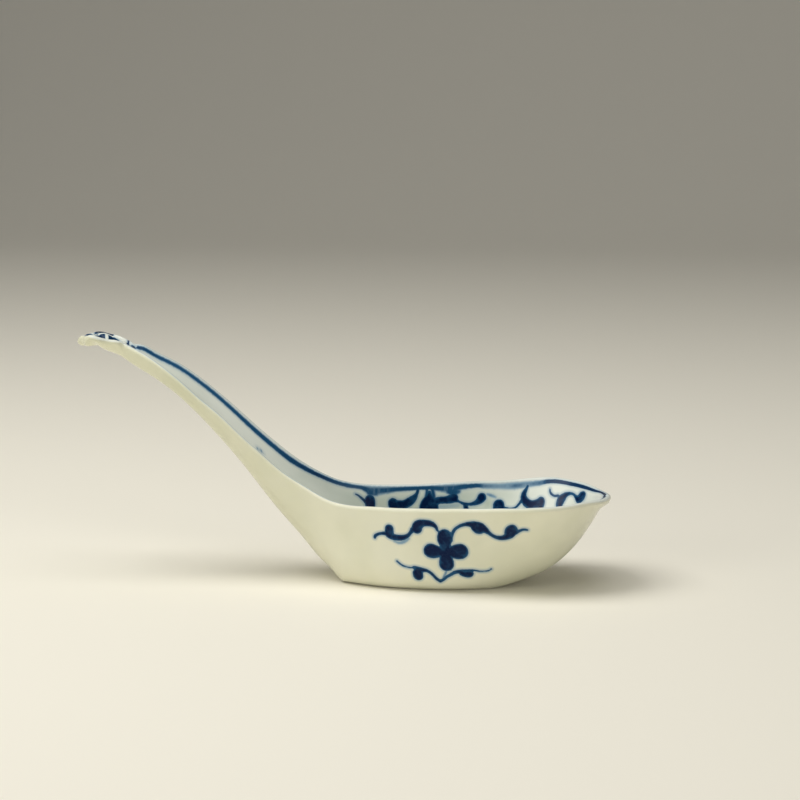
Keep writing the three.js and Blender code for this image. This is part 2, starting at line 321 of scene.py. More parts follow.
def droopAt(x):
    ahead = (x - flower["middle"]) / flower["radius"] + flower["droopStartShare"]
    return flower["droop"] * (np.maximum(0, ahead) / (flower["droopStartShare"] + 1)) ** 2


def plainHalfWidth(x):
    return np.sqrt(np.maximum(squaredHalfWidth(np.maximum(x, handlePlace(1))), 0))


def halfWidthAt(x):
    # the handle and bowl's half width, met by the flower's outline on the handle's end
    plain = plainHalfWidth(x)
    fade = smoothStep(x, flower["end"] + 1, handlePlace(1))
    outline = np.interp(x, outlineX[:farthest], outlineY[:farthest], right=0)
    past = smoothStep(-x, spoon["jointReach"] + spoon["jointMargin"], flower["blendFull"])
    grown = greater(plain * fade, outline, flower["blendRound"] * fade * past)
    return np.where(x < -spoon["jointReach"], grown, plain)


def edgeAt(x):
    nose = smoothStep(flower["end"] + flower["noseRound"] - x, 0, flower["noseRound"])
    lift = flower["noseLift"] * (1 - smoothStep(x, *flower["liftFade"]))
    level = flower["seatHeight"] + flower["rimRise"] + lift - droopAt(x)
    petalEdge = mixed(level, flower["noseHeight"], nose)
    share = smoothStep(x, flower["middle"] + 1.5, flower["troughStart"])
    return mixed(petalEdge, spoonEdge(x), share)


def underAt(x):
    # level over the foot, then rising to the lip or up the handle to the flower's flat back
    stem = heelHeight(-x - spoon["footHalfLength"]) + underDrift(x)
    stem = stem + flower["stemCurl"] * np.maximum(0, handlePlace(1) + 2 - x) ** 2
    nose = np.clip((flower["end"] + flower["noseRound"] - x) / flower["noseRound"], 0, 1)
    noseRise = (flower["noseHeight"] - flower["seatHeight"]) * (1 - np.sqrt(1 - nose**2))
    sag = flower["noseSag"] * smoothStep(-x, *flower["sagReach"])
    back = flower["seatHeight"] + noseRise - sag - droopAt(x)
    joined = -greater(-stem, -back, 0.25)
    heel = np.where(x < flower["troughStart"], joined, stem)
    bow = bowHeight(x - spoon["footHalfLength"])
    return np.where(x > spoon["footHalfLength"], bow, np.where(x < -spoon["footHalfLength"], heel, 0))


def outerHalf(x, rows):
    # the outer face's right half at each x, as rows of points: along the flat underneath, round
    # the corner on a cubic curve, and up the straight side
    under, half = underAt(x), halfWidthAt(x)
    height = np.maximum(edgeAt(x) - under, 0)
    head = 1 - smoothStep(x, *flower["headFade"])
    stemHalf = np.where(x < -spoon["jointReach"], plainHalfWidth(x), half)
    stemFlat = np.minimum(spoonFlat(np.maximum(x, handlePlace(1))), 1) * stemHalf
    flat = mixed(stemFlat, flower["flatShare"] * half, head)
    rounding = mixed(spoon["cornerRound"], flower["cornerRound"], head)
    slant = np.maximum(np.hypot(half - flat, height), 1e-9)
    flatCut = np.minimum(rounding, spoon["flatCutShare"] * flat)
    sideCut = np.minimum(rounding * spoon["sideRunShare"], spoon["sideCutShare"] * slant)
    runY, runZ = (half - flat) / slant, height / slant
    ease = 1 - spoon["fullShare"]
    x, under, half, height, flat, slant, flatCut, sideCut, runY, runZ = (
        value[:, None] for value in (x, under, half, height, flat, slant, flatCut, sideCut, runY, runZ)
    )
    floor = np.linspace(0, 1, rows["floor"] + 1)[None]
    turn = 1 - (1 - np.linspace(0, 1, rows["corner"] + 1)[None, 1:]) ** spoon["cornerCrowd"]
    rise = np.linspace(0, 1, rows["side"] + 1)[None, 1:]
    first, second, third = 3 * turn * (1 - turn) ** 2, 3 * turn**2 * (1 - turn), turn**3
    start, easeY = flat - flatCut, flat - flatCut * ease
    cornerY = (1 - turn) ** 3 * start + first * easeY
    cornerY = cornerY + second * (flat + runY * sideCut * ease) + third * (flat + runY * sideCut)
    cornerZ = second * runZ * sideCut * ease + third * runZ * sideCut
    sideY = mixed(flat + runY * sideCut, half, rise)
    sideZ = mixed(runZ * sideCut, height, rise)
    y = np.concatenate([start * floor, cornerY, sideY], 1)
    z = np.concatenate([0 * start * floor, cornerZ, sideZ], 1) + under
    return np.stack([x + 0 * y, y, z], -1)


def lengthShare(points):
    # each row's distance from the middle underneath, as a share of the whole way to the edge
    steps = np.linalg.norm(np.diff(points, axis=1), axis=-1)
    length = np.concatenate([np.zeros((len(points), 1)), np.cumsum(steps, 1)], 1)
    return length / np.maximum(length[:, -1:], 1e-9)


def unit(vectors):
    return vectors / np.maximum(np.linalg.norm(vectors, axis=-1, keepdims=True), 1e-12)


def settled(vectors, share):
    # the vector turned into the section's plane and lengthened by 1 / |yz|^2, so that the wall
    # keeps its thickness; at a share of 1 it stays as it is
    flat = vectors * np.array([0, 1, 1])
    flat = flat / np.maximum((flat**2).sum(-1, keepdims=True), 0.3)
    return mixed(flat, vectors, share)


def eased(inner, x):
    # the inner face without the tight folds that the outer corners leave in it: each point drawn
    # to the mean of its neighbours in the section up the handle, and to the straight line
    # between the neighbouring sections round the heel
    along = smoothStep(-x, *spoon["stemEase"])[:, None, None]
    for _ in range(spoon["stemPasses"]):
        mean = (inner[:, :-2] + 2 * inner[:, 1:-1] + inner[:, 2:]) / 4
        inner[:, 1:-1] = mixed(inner[:, 1:-1], mean, along)
    start, full, fade, end = spoon["heelEase"]
    heel = (smoothStep(-x, start, full) * (1 - smoothStep(-x, fade, end)))[1:-1, None]
    place = ((x[1:-1] - x[:-2]) / (x[2:] - x[:-2]))[:, None]
    for _ in range(spoon["heelPasses"]):
        line = mixed(inner[:-2, :, 2], inner[2:, :, 2], place)
        inner[1:-1, :, 2] = mixed(inner[1:-1, :, 2], line, 0.5 * heel)
    return inner


def flowerRise(x, y):
    # hollows in the petals, ridges between them and the boss, above the level of the inner edge
    turn = np.arctan2(y, flower["middle"] - x)
    radius = np.hypot(x - flower["middle"], y)
    share = radius / petalReach(turn)
    petalHalf = math.pi / flower["petals"]
    across = petalTurn(turn) / (petalHalf * flower["dishWidthShare"])
    along = (share - flower["dishPlaceShare"]) / flower["dishLengthShare"]
    hollow = smoothStep(1 - np.hypot(along, across), *flower["hollowEdge"])
    offRidge = radius * np.sin(petalHalf - np.abs(petalTurn(turn)))
    ridge = np.exp(-((offRidge / flower["ridgeWidth"]) ** 2)) * smoothStep(share, *flower["ridgeStart"])
    towardsBowl = smoothStep(-np.cos(turn), *flower["backCosines"])
    ridgeRise = mixed(flower["ridgeRise"], flower["backRidgeRise"], towardsBowl)
    boss = np.sqrt(np.maximum(0, 1 - (radius / flower["bossRadius"]) ** 2))
    rim = 1 - smoothStep(share, flower["rimStart"], mixed(*flower["rimEnds"], towardsBowl))
    gap = np.exp(-(((share - flower["gapShare"]) / flower["gapWidth"]) ** 2))
    gap = gap * smoothStep(-np.cos(turn), *flower["gapCosines"])
    raised = np.maximum(ridgeRise * ridge, flower["bossRise"] * boss)
    return raised * rim - flower["dishDepth"] * hollow * rim - flower["gapDepth"] * gap


def dishPaint(x, y):
    # how far outside a petal's painted hollow a point of the flower lies, in millimetres
    turn = np.arctan2(y, flower["middle"] - x)
    share = np.hypot(x - flower["middle"], y) / petalReach(turn)
    across = petalTurn(turn) / (math.pi / flower["petals"] * flower["dishWidthShare"])
    far = smoothStep(y, *flower["farSide"]) * (1 - smoothStep(x, *flower["farSideEnd"]))
    across = across / mixed(1, flower["farPaintSpread"], far)
    middle = mixed(flower["nearPaintPlace"], flower["farPaintPlace"], far)
    length = mixed(flower["nearPaintLength"], flower["farPaintLength"], far)
    outside = np.hypot((share - middle) / length, across) - flower["paintSize"]
    return outside * length * flower["radius"]


def skinRings(x, rows):
    # closed loops round the spoon at each x: up the outer face, over the round lip, down the
    # inner face to the middle, and the same mirrored. Inner = outer - wall * normal.
    reach = np.minimum(spoon["slopeReach"], np.minimum(spoon["lipReach"] - x, x - flower["end"]) / 2)
    reach = np.maximum(reach, 1e-4)
    outer = outerHalf(x, rows)
    runs = unit(outerHalf(x + reach, rows) - outerHalf(x - reach, rows))
    across = np.gradient(outer, axis=1)
    normals = unit(np.cross(across, runs))
    noses = (
        (x >= spoon["lipReach"] - 1e-6, np.array(spoon["pointFacing"])),
        (x <= flower["end"] + 1e-6, np.array(flower["noseFacing"])),
    )
    for at, direction in noses:
        normals[at] = direction
        runs[at] = np.array([0, 1, 0]) * np.sign(direction[0])
    share = lengthShare(outer)
    leaves = smoothStep(x, 0, spoon["footHalfLength"])
    leaves = np.maximum(leaves, smoothStep(-x, *flower["leanReach"]))[:, None, None]
    outward = settled(normals, leaves)
    upward = unit(np.cross(runs[:, -1], normals[:, -1]))
    upward = settled(upward * np.sign(upward[:, 2:] + 1e-9), leaves[:, 0])
    thick = mixed(spoon["wall"], spoon["lipWall"], share**2)
    inner = outer - thick[..., None] * outward
    middle = (outer[:, -1] + inner[:, -1]) / 2
    inner = eased(inner, x)
    depth = smoothStep(x, flower["sinkStart"], flower["sinkStart"] + flower["troughRamp"])[:, None]
    plainRows = -spoon["jointReach"] - spoon["jointMargin"]
    uneven = smoothStep(x, flower["sinkStart"] - 0.8, plainRows)[:, None]
    evenShare = np.linspace(0, 1, inner.shape[1])
    even = evenShare * inner[:, -1:, 1]
    inner[..., 0] = mixed(inner[:, -1:, 0], inner[..., 0], uneven)
    inner[..., 1] = mixed(even, inner[..., 1], uneven)
    inner[..., 2] = mixed(middle[:, 2:], inner[..., 2], depth)
    inner[..., 2] += flowerRise(inner[..., 0], inner[..., 1]) * (x < -spoon["jointReach"])[:, None]
    least = underAt(x)[:, None] + flower["leastWall"]
    inner[..., 2] = np.where(depth < 1, np.maximum(inner[..., 2], least), inner[..., 2])
    turn = np.linspace(0, math.pi, rows["lip"] + 1)[1:-1]
    lip = np.cos(turn)[None, :, None] * outward[:, -1:] + np.sin(turn)[None, :, None] * upward[:, None]
    lip = middle[:, None] + lip * spoon["lipWall"] / 2
    half = np.concatenate([outer, lip, inner[:, ::-1]], 1)
    wobbleTurn, wobbleStart = spoon["wobbleTurn"]
    wobble = spoon["rimWobble"] * np.sin(wobbleTurn * x + wobbleStart)
    innerShare = mixed(evenShare, share, uneven)
    edgeShare = np.concatenate([share, np.ones(lip.shape[:2]), innerShare[:, ::-1]], 1) ** 3
    mirrored = half * np.array([1, -1, 1])
    half[..., 2] += (farDrift(x) + wobble)[:, None] * edgeShare
    mirrored[..., 2] += (nearDrift(x) + wobble)[:, None] * edgeShare
    mirrored[:, [0, -1]] = half[:, [0, -1]]
    return np.concatenate([half, mirrored[:, -2:0:-1]], 1), half.shape[1]


def ringFaces(stations, around):
    # quads between neighbouring loops, facing out
    i, j = np.meshgrid(np.arange(stations - 1), np.arange(around), indexing="ij")
    ahead = (j + 1) % around
    corners = (i * around + j, i * around + ahead, (i + 1) * around + ahead, (i + 1) * around + j)
    return np.stack(corners, -1)


def capFaces(base, profile, around, flip):
    # quads across the wall where a mesh ends, between a profile's two faces
    j = np.arange(profile // 2)
    quads = np.stack([j, j + 1, profile - 2 - j, profile - 1 - j], -1)
    other = (around - quads) % around
    faces = np.concatenate([quads[:, ::-1], other]) + base
    return faces[:, ::-1] if flip else faces


def finishedMesh(name, points, faces, attributes):
    # a smooth mesh out of points in millimetres; points that lie together become one
    mesh = bpy.data.meshes.new(name)
    mesh.from_pydata((points * mm).tolist(), [], [face.tolist() for face in faces])
    for label, values in attributes.items():
        mesh.attributes.new(label, "FLOAT", "POINT").data.foreach_set("value", values.astype(np.float32))
    shape = bmesh.new()
    shape.from_mesh(mesh)
    bmesh.ops.remove_doubles(shape, verts=shape.verts, dist=2e-7)
    flat = [face for face in shape.faces if face.calc_area() < 1e-15]
    bmesh.ops.delete(shape, geom=flat, context="FACES_ONLY")
    shape.to_mesh(mesh)
    shape.free()
    mesh.validate()
    places = np.zeros(3 * len(mesh.vertices), np.float32)
    mesh.vertices.foreach_get("co", places)
    ends = np.zeros(2 * len(mesh.edges), np.int32)
    mesh.edges.foreach_get("vertices", ends)
    atJoint = np.abs(places[::3] + spoon["jointReach"] * mm) < 1e-6
    mesh.edges.foreach_set("use_edge_sharp", atJoint[ends].reshape(-1, 2).all(1))
    mesh.shade_smooth()
    piece = bpy.data.objects.new(name, mesh)
    bpy.context.scene.collection.objects.link(piece)
    return piece


# The painting. Strokes are (along, height or depth, half width) in millimetres.
# On the outer walls the second number is the height over the table.
outerPainting = {
    "topPetal": [(8.9, 15.3, 1.85), (8.9, 14.4, 1.9), (9, 13.2, 1.5), (9, 12, 1.3)],
    "leftPetal": [(5.35, 11.25, 1.92), (6.2, 11.1, 1.8), (7.6, 11.1, 1.3), (8.6, 11.1, 1.2)],
    "rightPetal": [(12.75, 11.3, 2.08), (12, 11.2, 2), (10.8, 11.2, 1.5), (9.8, 11.2, 1.2)],
    "bottomPetal": [(9.25, 7.85, 1.9), (9.2, 8.6, 1.85), (9.1, 9.8, 1.4), (9.05, 11, 1.3)],
    "leftScroll": [
        (7.1, 16.7, 0.35), (6.7, 17.6, 0.5), (5.7, 18.3, 0.75), (4.6, 18.45, 0.88), (3.5, 18.4, 0.95),
        (2.5, 18, 1.25), (1.9, 17.3, 1.4), (1.85, 16.9, 1.38),
    ],
    "leftVine": [
        (0.7, 16.5, 0.7), (0.1, 15.6, 0.5), (-0.8, 14.75, 0.6), (-2, 14.3, 0.75), (-3.3, 14.2, 0.82),
        (-4.6, 14.4, 0.88), (-5.4, 14.9, 1),
    ],
    "leftBud": [(-5.35, 16.4, 1.15), (-5.4, 15.3, 1.25)],
    "leftTip": [
        (-6.2, 15.1, 0.6), (-7.4, 15.05, 0.42), (-8.5, 14.7, 0.42), (-9.15, 14.15, 0.42),
        (-9.2, 13.8, 0.36),
    ],
    "rightScroll": [
        (10.5, 14.2, 0.5), (10.65, 15, 0.42), (10.95, 16.1, 0.43), (11.6, 17.2, 0.42),
        (12.5, 17.95, 0.42), (13.5, 18.4, 0.47), (14.6, 18.7, 0.58), (15.8, 18.72, 0.82), (17, 18.6, 1),
        (18.2, 18.1, 1.15),
    ],
    "rightLeaf": [(16.4, 17.9, 0.8), (17.6, 17.25, 1.12), (18.4, 17.4, 1)],
    "rightVine": [
        (18.2, 18.1, 1.15), (19.1, 17.4, 0.95), (19.8, 16.8, 0.65), (20.6, 16.1, 0.5), (21.5, 15.5, 0.5),
        (22.5, 15.2, 0.6), (23.6, 15.2, 0.72), (24.8, 15.7, 0.95),
    ],
    "rightBud": [(25.2, 16.2, 1.25), (25.6, 17.1, 1.55), (25.95, 17.6, 1.38)],
    "rightTip": [(26.8, 16.7, 0.6), (27.7, 17.15, 0.4), (28.6, 17.5, 0.4), (29.6, 17.4, 0.34)],
    "leftSprig": [
        (7.4, 3.1, 0.48), (6.6, 3.7, 0.45), (5.8, 4.7, 0.42), (4.8, 5.6, 0.43), (3.8, 6, 0.52),
        (2.8, 6.1, 0.65), (1.8, 6.5, 0.5), (1, 6.75, 0.36),
    ],
    "leftTendril": [
        (1, 6.75, 0.36), (0, 6.6, 0.27), (-1, 6.7, 0.26), (-2, 7, 0.26), (-2.8, 7.5, 0.26),
        (-3.5, 8.1, 0.25),
    ],
    "leftSprigLeaf": [(1.8, 5.1, 1.35), (1.9, 4.45, 1.35)],
    "rightSprig": [
        (7.4, 3.1, 0.48), (8.3, 3.6, 0.42), (9.2, 4.4, 0.42), (10.2, 5, 0.45), (11.2, 5.6, 0.5),
        (12.4, 5.9, 0.55), (13.6, 6, 0.5), (14.8, 6.1, 0.42),
    ],
    "rightTendril": [
        (14.8, 6.1, 0.42), (16, 6.2, 0.28), (17, 5.95, 0.26), (18.2, 5.85, 0.26), (19.3, 5.95, 0.26),
        (20.2, 6.45, 0.24),
    ],
    "rightSprigLeaf": [(12.9, 5.35, 0.68), (14, 5.1, 0.9), (14.8, 5.12, 0.92), (15.3, 5.35, 0.65)],
}
outerWash = {
    "stem": [(9.1, 5.8, 0.28, 0.9), (8.7, 4.9, 0.28, 0.9), (8.3, 3.9, 0.32, 0.9)],
    "vineShade": [
        (-4.2, 13.3, 0.3, 0.5), (-2.8, 12.9, 0.4, 0.55), (-1.4, 13.4, 0.5, 0.55), (-0.4, 14.2, 0.5, 0.5),
    ],
}

# Inside, the second number is the depth below the lip. What the near lip hides in the
# photograph is carried on down the wall.
innerPainting = {
    "tail": [
        (-19.4, 2.45, 0.2), (-18.7, 2.75, 0.26), (-18, 3.25, 0.32), (-17.3, 3.8, 0.38), (-16.7, 4.2, 0.6),
    ],
    "bud": [(-15.7, 3.75, 1.32), (-15.6, 4.6, 1.36), (-15.5, 5.4, 1.25)],
    "budVine": [
        (-15.2, 6.4, 0.65), (-14.5, 7.8, 0.45), (-13.4, 9.1, 0.42), (-11.6, 9.6, 0.52), (-10.5, 9.1, 0.9),
        (-10.4, 8.6, 1),
    ],
    "scroll": [
        (-9.8, 4.55, 1.25), (-9.5, 5.2, 1.35), (-8.4, 5.1, 1.2), (-7.2, 5.1, 1.15), (-6.1, 4.75, 1.2),
        (-5.2, 4.15, 1.12), (-4.4, 3.45, 0.9), (-3.8, 2.6, 0.55), (-3.45, 1.8, 0.42), (-3.3, 0.9, 0.4),
    ],
    "wedge": [
        (-0.35, 2, 0.5), (-0.35, 2.9, 0.8), (-0.3, 3.9, 1.45), (-0.35, 5, 2.15), (-0.4, 6.3, 2.55),
        (-0.4, 8.2, 1.7), (-0.4, 10.2, 1.25),
    ],
    "sidePetals": [
        (-4.6, 10.9, 1.9), (-2.8, 10.8, 1.4), (-0.4, 10.7, 1.2), (1.9, 10.8, 1.4), (3.8, 10.9, 1.9),
    ],
    "lowerPetal": [(-0.4, 11.2, 1.2), (-0.4, 12.8, 1.5), (-0.3, 14.5, 1.85)],
    "band": [
        (1.2, 4.5, 1.1), (2.4, 4.25, 1), (3.4, 4.25, 0.98), (4.5, 4.2, 1.08), (5.4, 4, 1.25),
        (5.9, 3.8, 1.3),
    ],
    "stem": [
        (6.6, 4.5, 0.6), (7.4, 4.85, 0.34), (8.2, 5.25, 0.36), (9, 5.5, 0.42), (10, 5.6, 0.42),
        (11, 5.5, 0.52), (12, 5.15, 0.7), (12.8, 4.6, 0.98), (13.35, 3.9, 1.22),
    ],
    "stemBud": [(9, 5.9, 0.5), (9.3, 6.5, 0.7)],
    "stemVine": [
        (9.3, 6.9, 0.5), (9.5, 8.6, 0.38), (10.7, 10.4, 0.38), (12.6, 11.2, 0.52), (14, 10.7, 0.95),
    ],
    "drop": [(17.9, 5.85, 1.55), (18, 6.9, 1.6)],
    "dropVine": [(18, 8.2, 0.6), (18.6, 10, 0.4), (20, 11.4, 0.4), (21.8, 11.8, 0.9)],
    "line": [
        (19.4, 6.4, 0.3), (21, 6.65, 0.22), (22.3, 6.5, 0.28), (23, 6, 0.32), (23.5, 5.4, 0.36),
        (24, 4.8, 0.5),
    ],
    "leaf": [
        (25.3, 1.5, 0.34), (25, 2.1, 0.45), (24.55, 3, 0.64), (24.4, 4, 0.84), (24.9, 5, 0.98),
        (26, 5.9, 1.08), (27.5, 5.95, 1.05), (28.9, 5.7, 1.3),
    ],
    "leafTip": [(28.9, 5.7, 1.3), (29.1, 5.25, 1.1)],
    "leafVine": [
        (29.2, 6.8, 0.8), (29.6, 9, 0.45), (28.8, 10.8, 0.42), (27.2, 11.9, 0.52), (25.8, 11.5, 1),
    ],
    "archTip": [
        (31.3, 2.3, 0.2), (31.4, 2.95, 0.27), (31.9, 3.5, 0.32), (32.7, 3.78, 0.3), (33.6, 3.6, 0.32),
    ],
    "arch": [
        (34.1, 5.7, 0.9), (34.3, 4.9, 0.98), (34.8, 4.1, 0.95), (35.5, 3.35, 0.68), (36.3, 2.85, 0.45),
        (37.2, 2.62, 0.34), (38.1, 2.75, 0.38), (38.8, 3.2, 0.58), (39.3, 3.6, 0.72),
    ],
    "archBud": [(39.4, 3.6, 0.72), (39.9, 3, 0.85), (40.4, 2.3, 0.85), (40.8, 1.85, 0.62)],
}
innerWash = {
    "wedgeLeft": [(-0.9, 0.8, 0.35, 1.25), (-1, 1.8, 0.4, 1.2), (-1.1, 3.2, 0.5, 1.3)],
    "wedgeRight": [(0.3, 0.8, 0.45, 1.3), (0.5, 1.8, 0.5, 1.2), (0.8, 3.2, 0.5, 1.3)],
    "aboveBand": [(4.4, 2, 0.6, 1), (5.8, 2.4, 0.8, 1.15), (7.2, 2.2, 0.6, 0.95)],
    "belowBand": [(2.4, 5.9, 0.5, 0.35), (4.5, 5.9, 0.6, 0.3), (7.2, 5.8, 0.5, 0.25)],
    "budTop": [(-15.8, 1.8, 0.9, 1), (-14.2, 2, 0.8, 0.9)],
    "curlTail": [(14.8, 3.1, 0.28, 0.85), (16, 3.45, 0.34, 0.75), (17, 3.85, 0.3, 0.5)],
    "troughDash": [(-44.2, 4.3, 0.16, 0.8), (-43.4, 4.1, 0.22, 0.9), (-42.5, 4.2, 0.22, 0.8)],
}

# The line under the lip: where along the spoon, its upper and lower edge below the lip, its
# strength and how far its edges blur, one row for each place
rimLine = [
    (-77.4, 0.02, 0.6, 1.6, 0.15), (-73, 0, 0.8, 1.3, 0.3), (-65, 0, 0.92, 1.15, 0.35),
    (-60, 0.02, 1.02, 1.1, 0.35), (-55, 0.02, 1.05, 1.1, 0.35), (-50, 0.08, 1.2, 1.1, 0.35),
    (-45, 0.2, 1.4, 1.2, 0.35), (-40, 0.22, 1.5, 1.2, 0.35), (-36, 0.3, 1.65, 1.3, 0.35),
    (-32, 0.15, 1.3, 1.4, 0.3), (-28, 0.05, 1, 1.5, 0.25), (-25, 0.08, 1.05, 1.3, 0.25),
    (-22, 0.1, 1.1, 1.2, 0.3), (-18, 0.2, 1.15, 1.15, 0.3), (-15.5, 0.4, 2.7, 0.95, 0.7),
    (-12, 0.45, 2.2, 1, 0.6), (-9, 0.45, 1.7, 1.1, 0.4), (-6, 0.4, 1.5, 1.15, 0.3),
    (-3, 0.35, 1.35, 1.15, 0.25), (0, 0.35, 1.35, 1.15, 0.25), (3, 0.4, 2.1, 1, 0.6),
    (6.5, 0.4, 2.3, 1, 0.6), (8, 0.4, 1.8, 1.1, 0.4), (12, 0.35, 1.35, 1.2, 0.2),
    (14, 0.4, 1.6, 0.8, 0.5), (18, 0.4, 1.8, 0.6, 0.6), (22, 0.35, 1.95, 0.78, 0.6),
    (26, 0.4, 1.75, 0.7, 0.5), (29.3, 0.32, 1.5, 0.85, 0.3), (30.2, 0.42, 1.45, 1.4, 0.12),
    (34, 0.9, 2.05, 1.5, 0.12), (38, 0.98, 2.05, 1.5, 0.1), (42, 0.9, 1.9, 1.5, 0.08),
    (45, 0.82, 1.6, 1.55, 0.08), (47, 0.78, 1.5, 1.6, 0.08), (48.3, 0.78, 1.5, 1.7, 0.08),
]


# Where the paint reaches, in millimetres
paintReach = {
    "noInk": 9.0,  # a distance with no ink on it
    "outside": (-12, 33),
    "outsideLeast": 1.5,
    "insideFrom": -47,
    "insideDepth": 18,
    "lineFrom": -77.6,
    "lineDepth": 5,
    "bow": (28, 34),  # where the line starts to follow the lip's top in space
    "bowFrom": 27,
    "startFade": (-77.5, -73.5),
    "startEnd": -72,
    "startWidth": 2.7,
    "startGrowth": 3,
    "farStart": -77.1,
    "nearStart": -75.6,
    "outerBlur": 0.35,
    "innerBlur": 0.4,
    "dishTone": 1.5,
    "dishBlur": 0.25,
    "gapHalfWidth": 0.25,
    "gapReach": 1.5,
    "gapSide": 2,
    "gapTone": 1.6,
    "gapBlur": 0.1,
}


def drawnStroke(points):
    # a smooth brush line through the points, cut into short straight lengths
    points = np.array(points, float)
    steps = np.linalg.norm(np.diff(points[:, :2], axis=0), axis=1)
    length = np.concatenate([[0], np.cumsum(np.maximum(steps, 0.05))])
    fine = np.linspace(0, length[-1], 5 * len(points))
    curves = [naturalCurve(list(zip(length, column))) for column in points.T]
    return np.stack([curve(fine) for curve in curves], -1)


def lipTop(x, far):
    return edgeAt(x) + np.where(far, farDrift(x), nearDrift(x)) + spoon["lipWall"] / 2


def belowLipLine(points, lipLine):
    # how far below the lip's top a point of the inner face is, and where along the spoon that top
    # is, from its distance d to the top's nearest point: d^2 / 2r on the round of the lip and
    # sqrt(d^2 - r^2) below it
    radius = spoon["lipWall"] / 2
    below, place = np.full(len(points), paintReach["noInk"]), points[:, 0].copy()
    near = np.flatnonzero(points[:, 0] > paintReach["bowFrom"])
    for part in np.array_split(near, 20) if len(near) else ():
        squared = ((points[part][:, None] - lipLine[None]) ** 2).sum(-1)
        closest = squared.argmin(1)
        squared = squared.min(1)
        onFace = np.sqrt(np.maximum(squared - radius**2, 0))
        below[part] = np.where(squared < 2 * radius**2, squared / (2 * radius), onFace)
        place[part] = lipLine[closest, 0]
    return below, place


def strokeField(spots, painting):
    # least of |spot - nearest point of a stroke| - half width there, over all the strokes, with
    # the strength of the stroke that gave it
    least, tone = np.full(len(spots), paintReach["noInk"]), np.ones(len(spots))
    for points in painting.values():
        line = drawnStroke(points)
        start, run = line[:-1, :2], np.diff(line[:, :2], axis=0)
        near = spots[:, None] - start[None]
        share = np.clip((near * run).sum(-1) / np.maximum((run**2).sum(-1), 1e-9), 0, 1)
        gap = np.linalg.norm(near - share[..., None] * run, axis=-1)
        gap = gap - line[:-1, 2] - share * np.diff(line[:, 2])
        closest = gap.argmin(1)
        gap = gap[np.arange(len(spots)), closest]
        strength = line[closest, 3] if line.shape[1] > 3 else np.ones(len(spots))
        tone = np.where(gap < least, strength, tone)
        least = np.minimum(least, gap)
    return least, tone


def paintAttributes(points, inside, lipLine=()):
    # signed distances in millimetres to the edges of the brush strokes and of the thinner
    # washes, with each wash's strength and blur, where the glaze is inside, and how much it has
    # gathered, with painted shade in the bowl's hollow and up the handle's outside
    x, y, z = points.T
    count = len(points)
    stroke, wash = np.full((2, count), paintReach["noInk"])
    tone, blur = np.zeros(count), np.full(count, 0.3)

    def addWash(here, gap, strength, softness):
        ink = strength * (1 - smoothStep(gap, -softness, softness + 0.1))
        present = tone[here] * (1 - smoothStep(wash[here], -blur[here], blur[here] + 0.1))
        better = (ink > present) | ((present < 0.01) & (gap < wash[here]))
        chosen = here[better]
        wash[chosen], tone[chosen] = gap[better], strength[better]
        blur[chosen] = np.broadcast_to(softness, gap.shape)[better]

    low, high = paintReach["outside"]
    here = np.flatnonzero((~inside) & (x > low) & (x < high) & (z > paintReach["outsideLeast"]))
    spots = np.stack([x, z], -1)[here]
    stroke[here] = strokeField(spots, outerPainting)[0]
    gap, strength = strokeField(spots, outerWash)
    addWash(here, gap, strength, paintReach["outerBlur"])

    depth = lipTop(x, y > 0) - z
    here = np.flatnonzero(inside & (x > paintReach["insideFrom"]) & (depth < paintReach["insideDepth"]))
    spots = np.stack([x, depth], -1)[here]
    stroke[here] = strokeField(spots, innerPainting)[0]
    gap, strength = strokeField(spots, innerWash)
    addWash(here, gap, strength, paintReach["innerBlur"])

    here = np.flatnonzero(inside & (x > paintReach["lineFrom"]) & (depth < paintReach["lineDepth"]))
    onBow = smoothStep(x[here], *paintReach["bow"])
    below, place = belowLipLine(points[here], lipLine)
    below, place = mixed(depth[here], below, onBow), mixed(x[here], place, onBow)
    places, *columns = np.array(rimLine).T
    upper, lower, strength, softness = (np.interp(place, places, column) for column in columns)
    gap = np.maximum(upper - below, below - lower)
    growth = paintReach["startGrowth"] * smoothStep(x[here], *paintReach["startFade"])
    fromWall = halfWidthAt(x[here]) - paintReach["startWidth"] - growth - np.abs(y[here])
    gap = np.maximum(gap, np.where(x[here] < paintReach["startEnd"], fromWall, gap))
    gap = np.maximum(gap, np.where(y[here] > 0, paintReach["farStart"], paintReach["nearStart"]) - x[here])
    addWash(here, gap, strength, softness)

    here = np.flatnonzero(inside & (x < flower["troughStart"]))
    tones = np.full(len(here), paintReach["dishTone"])
    addWash(here, dishPaint(x[here], y[here]), tones, paintReach["dishBlur"])
    fromGap = np.abs(x - flower["gapPlace"])
    here = np.flatnonzero(inside & (fromGap < paintReach["gapReach"]) & (y > paintReach["gapSide"]))
    tones = np.full(len(here), paintReach["gapTone"])
    addWash(here, fromGap[here] - paintReach["gapHalfWidth"], tones, paintReach["gapBlur"])
    painted = {"strokeDistance": stroke, "washDistance": wash, "washTone": tone, "washBlur": blur}
    return painted | {"insideShare": inside.astype(float), "poolingAndShade": poolingAndShadeAt(points, inside)}


def lipTopRow(rows):
    # the row on the very top of the lip
    return rows["floor"] + rows["corner"] + rows["side"] + rows["lip"] // 2


def insideMask(stations, around, rows):
    # true from the lip's top inwards
    ring = np.arange(around)
    ring = np.minimum(ring, around - ring)
    return np.broadcast_to(ring >= lipTopRow(rows), (stations, around)).reshape(-1)


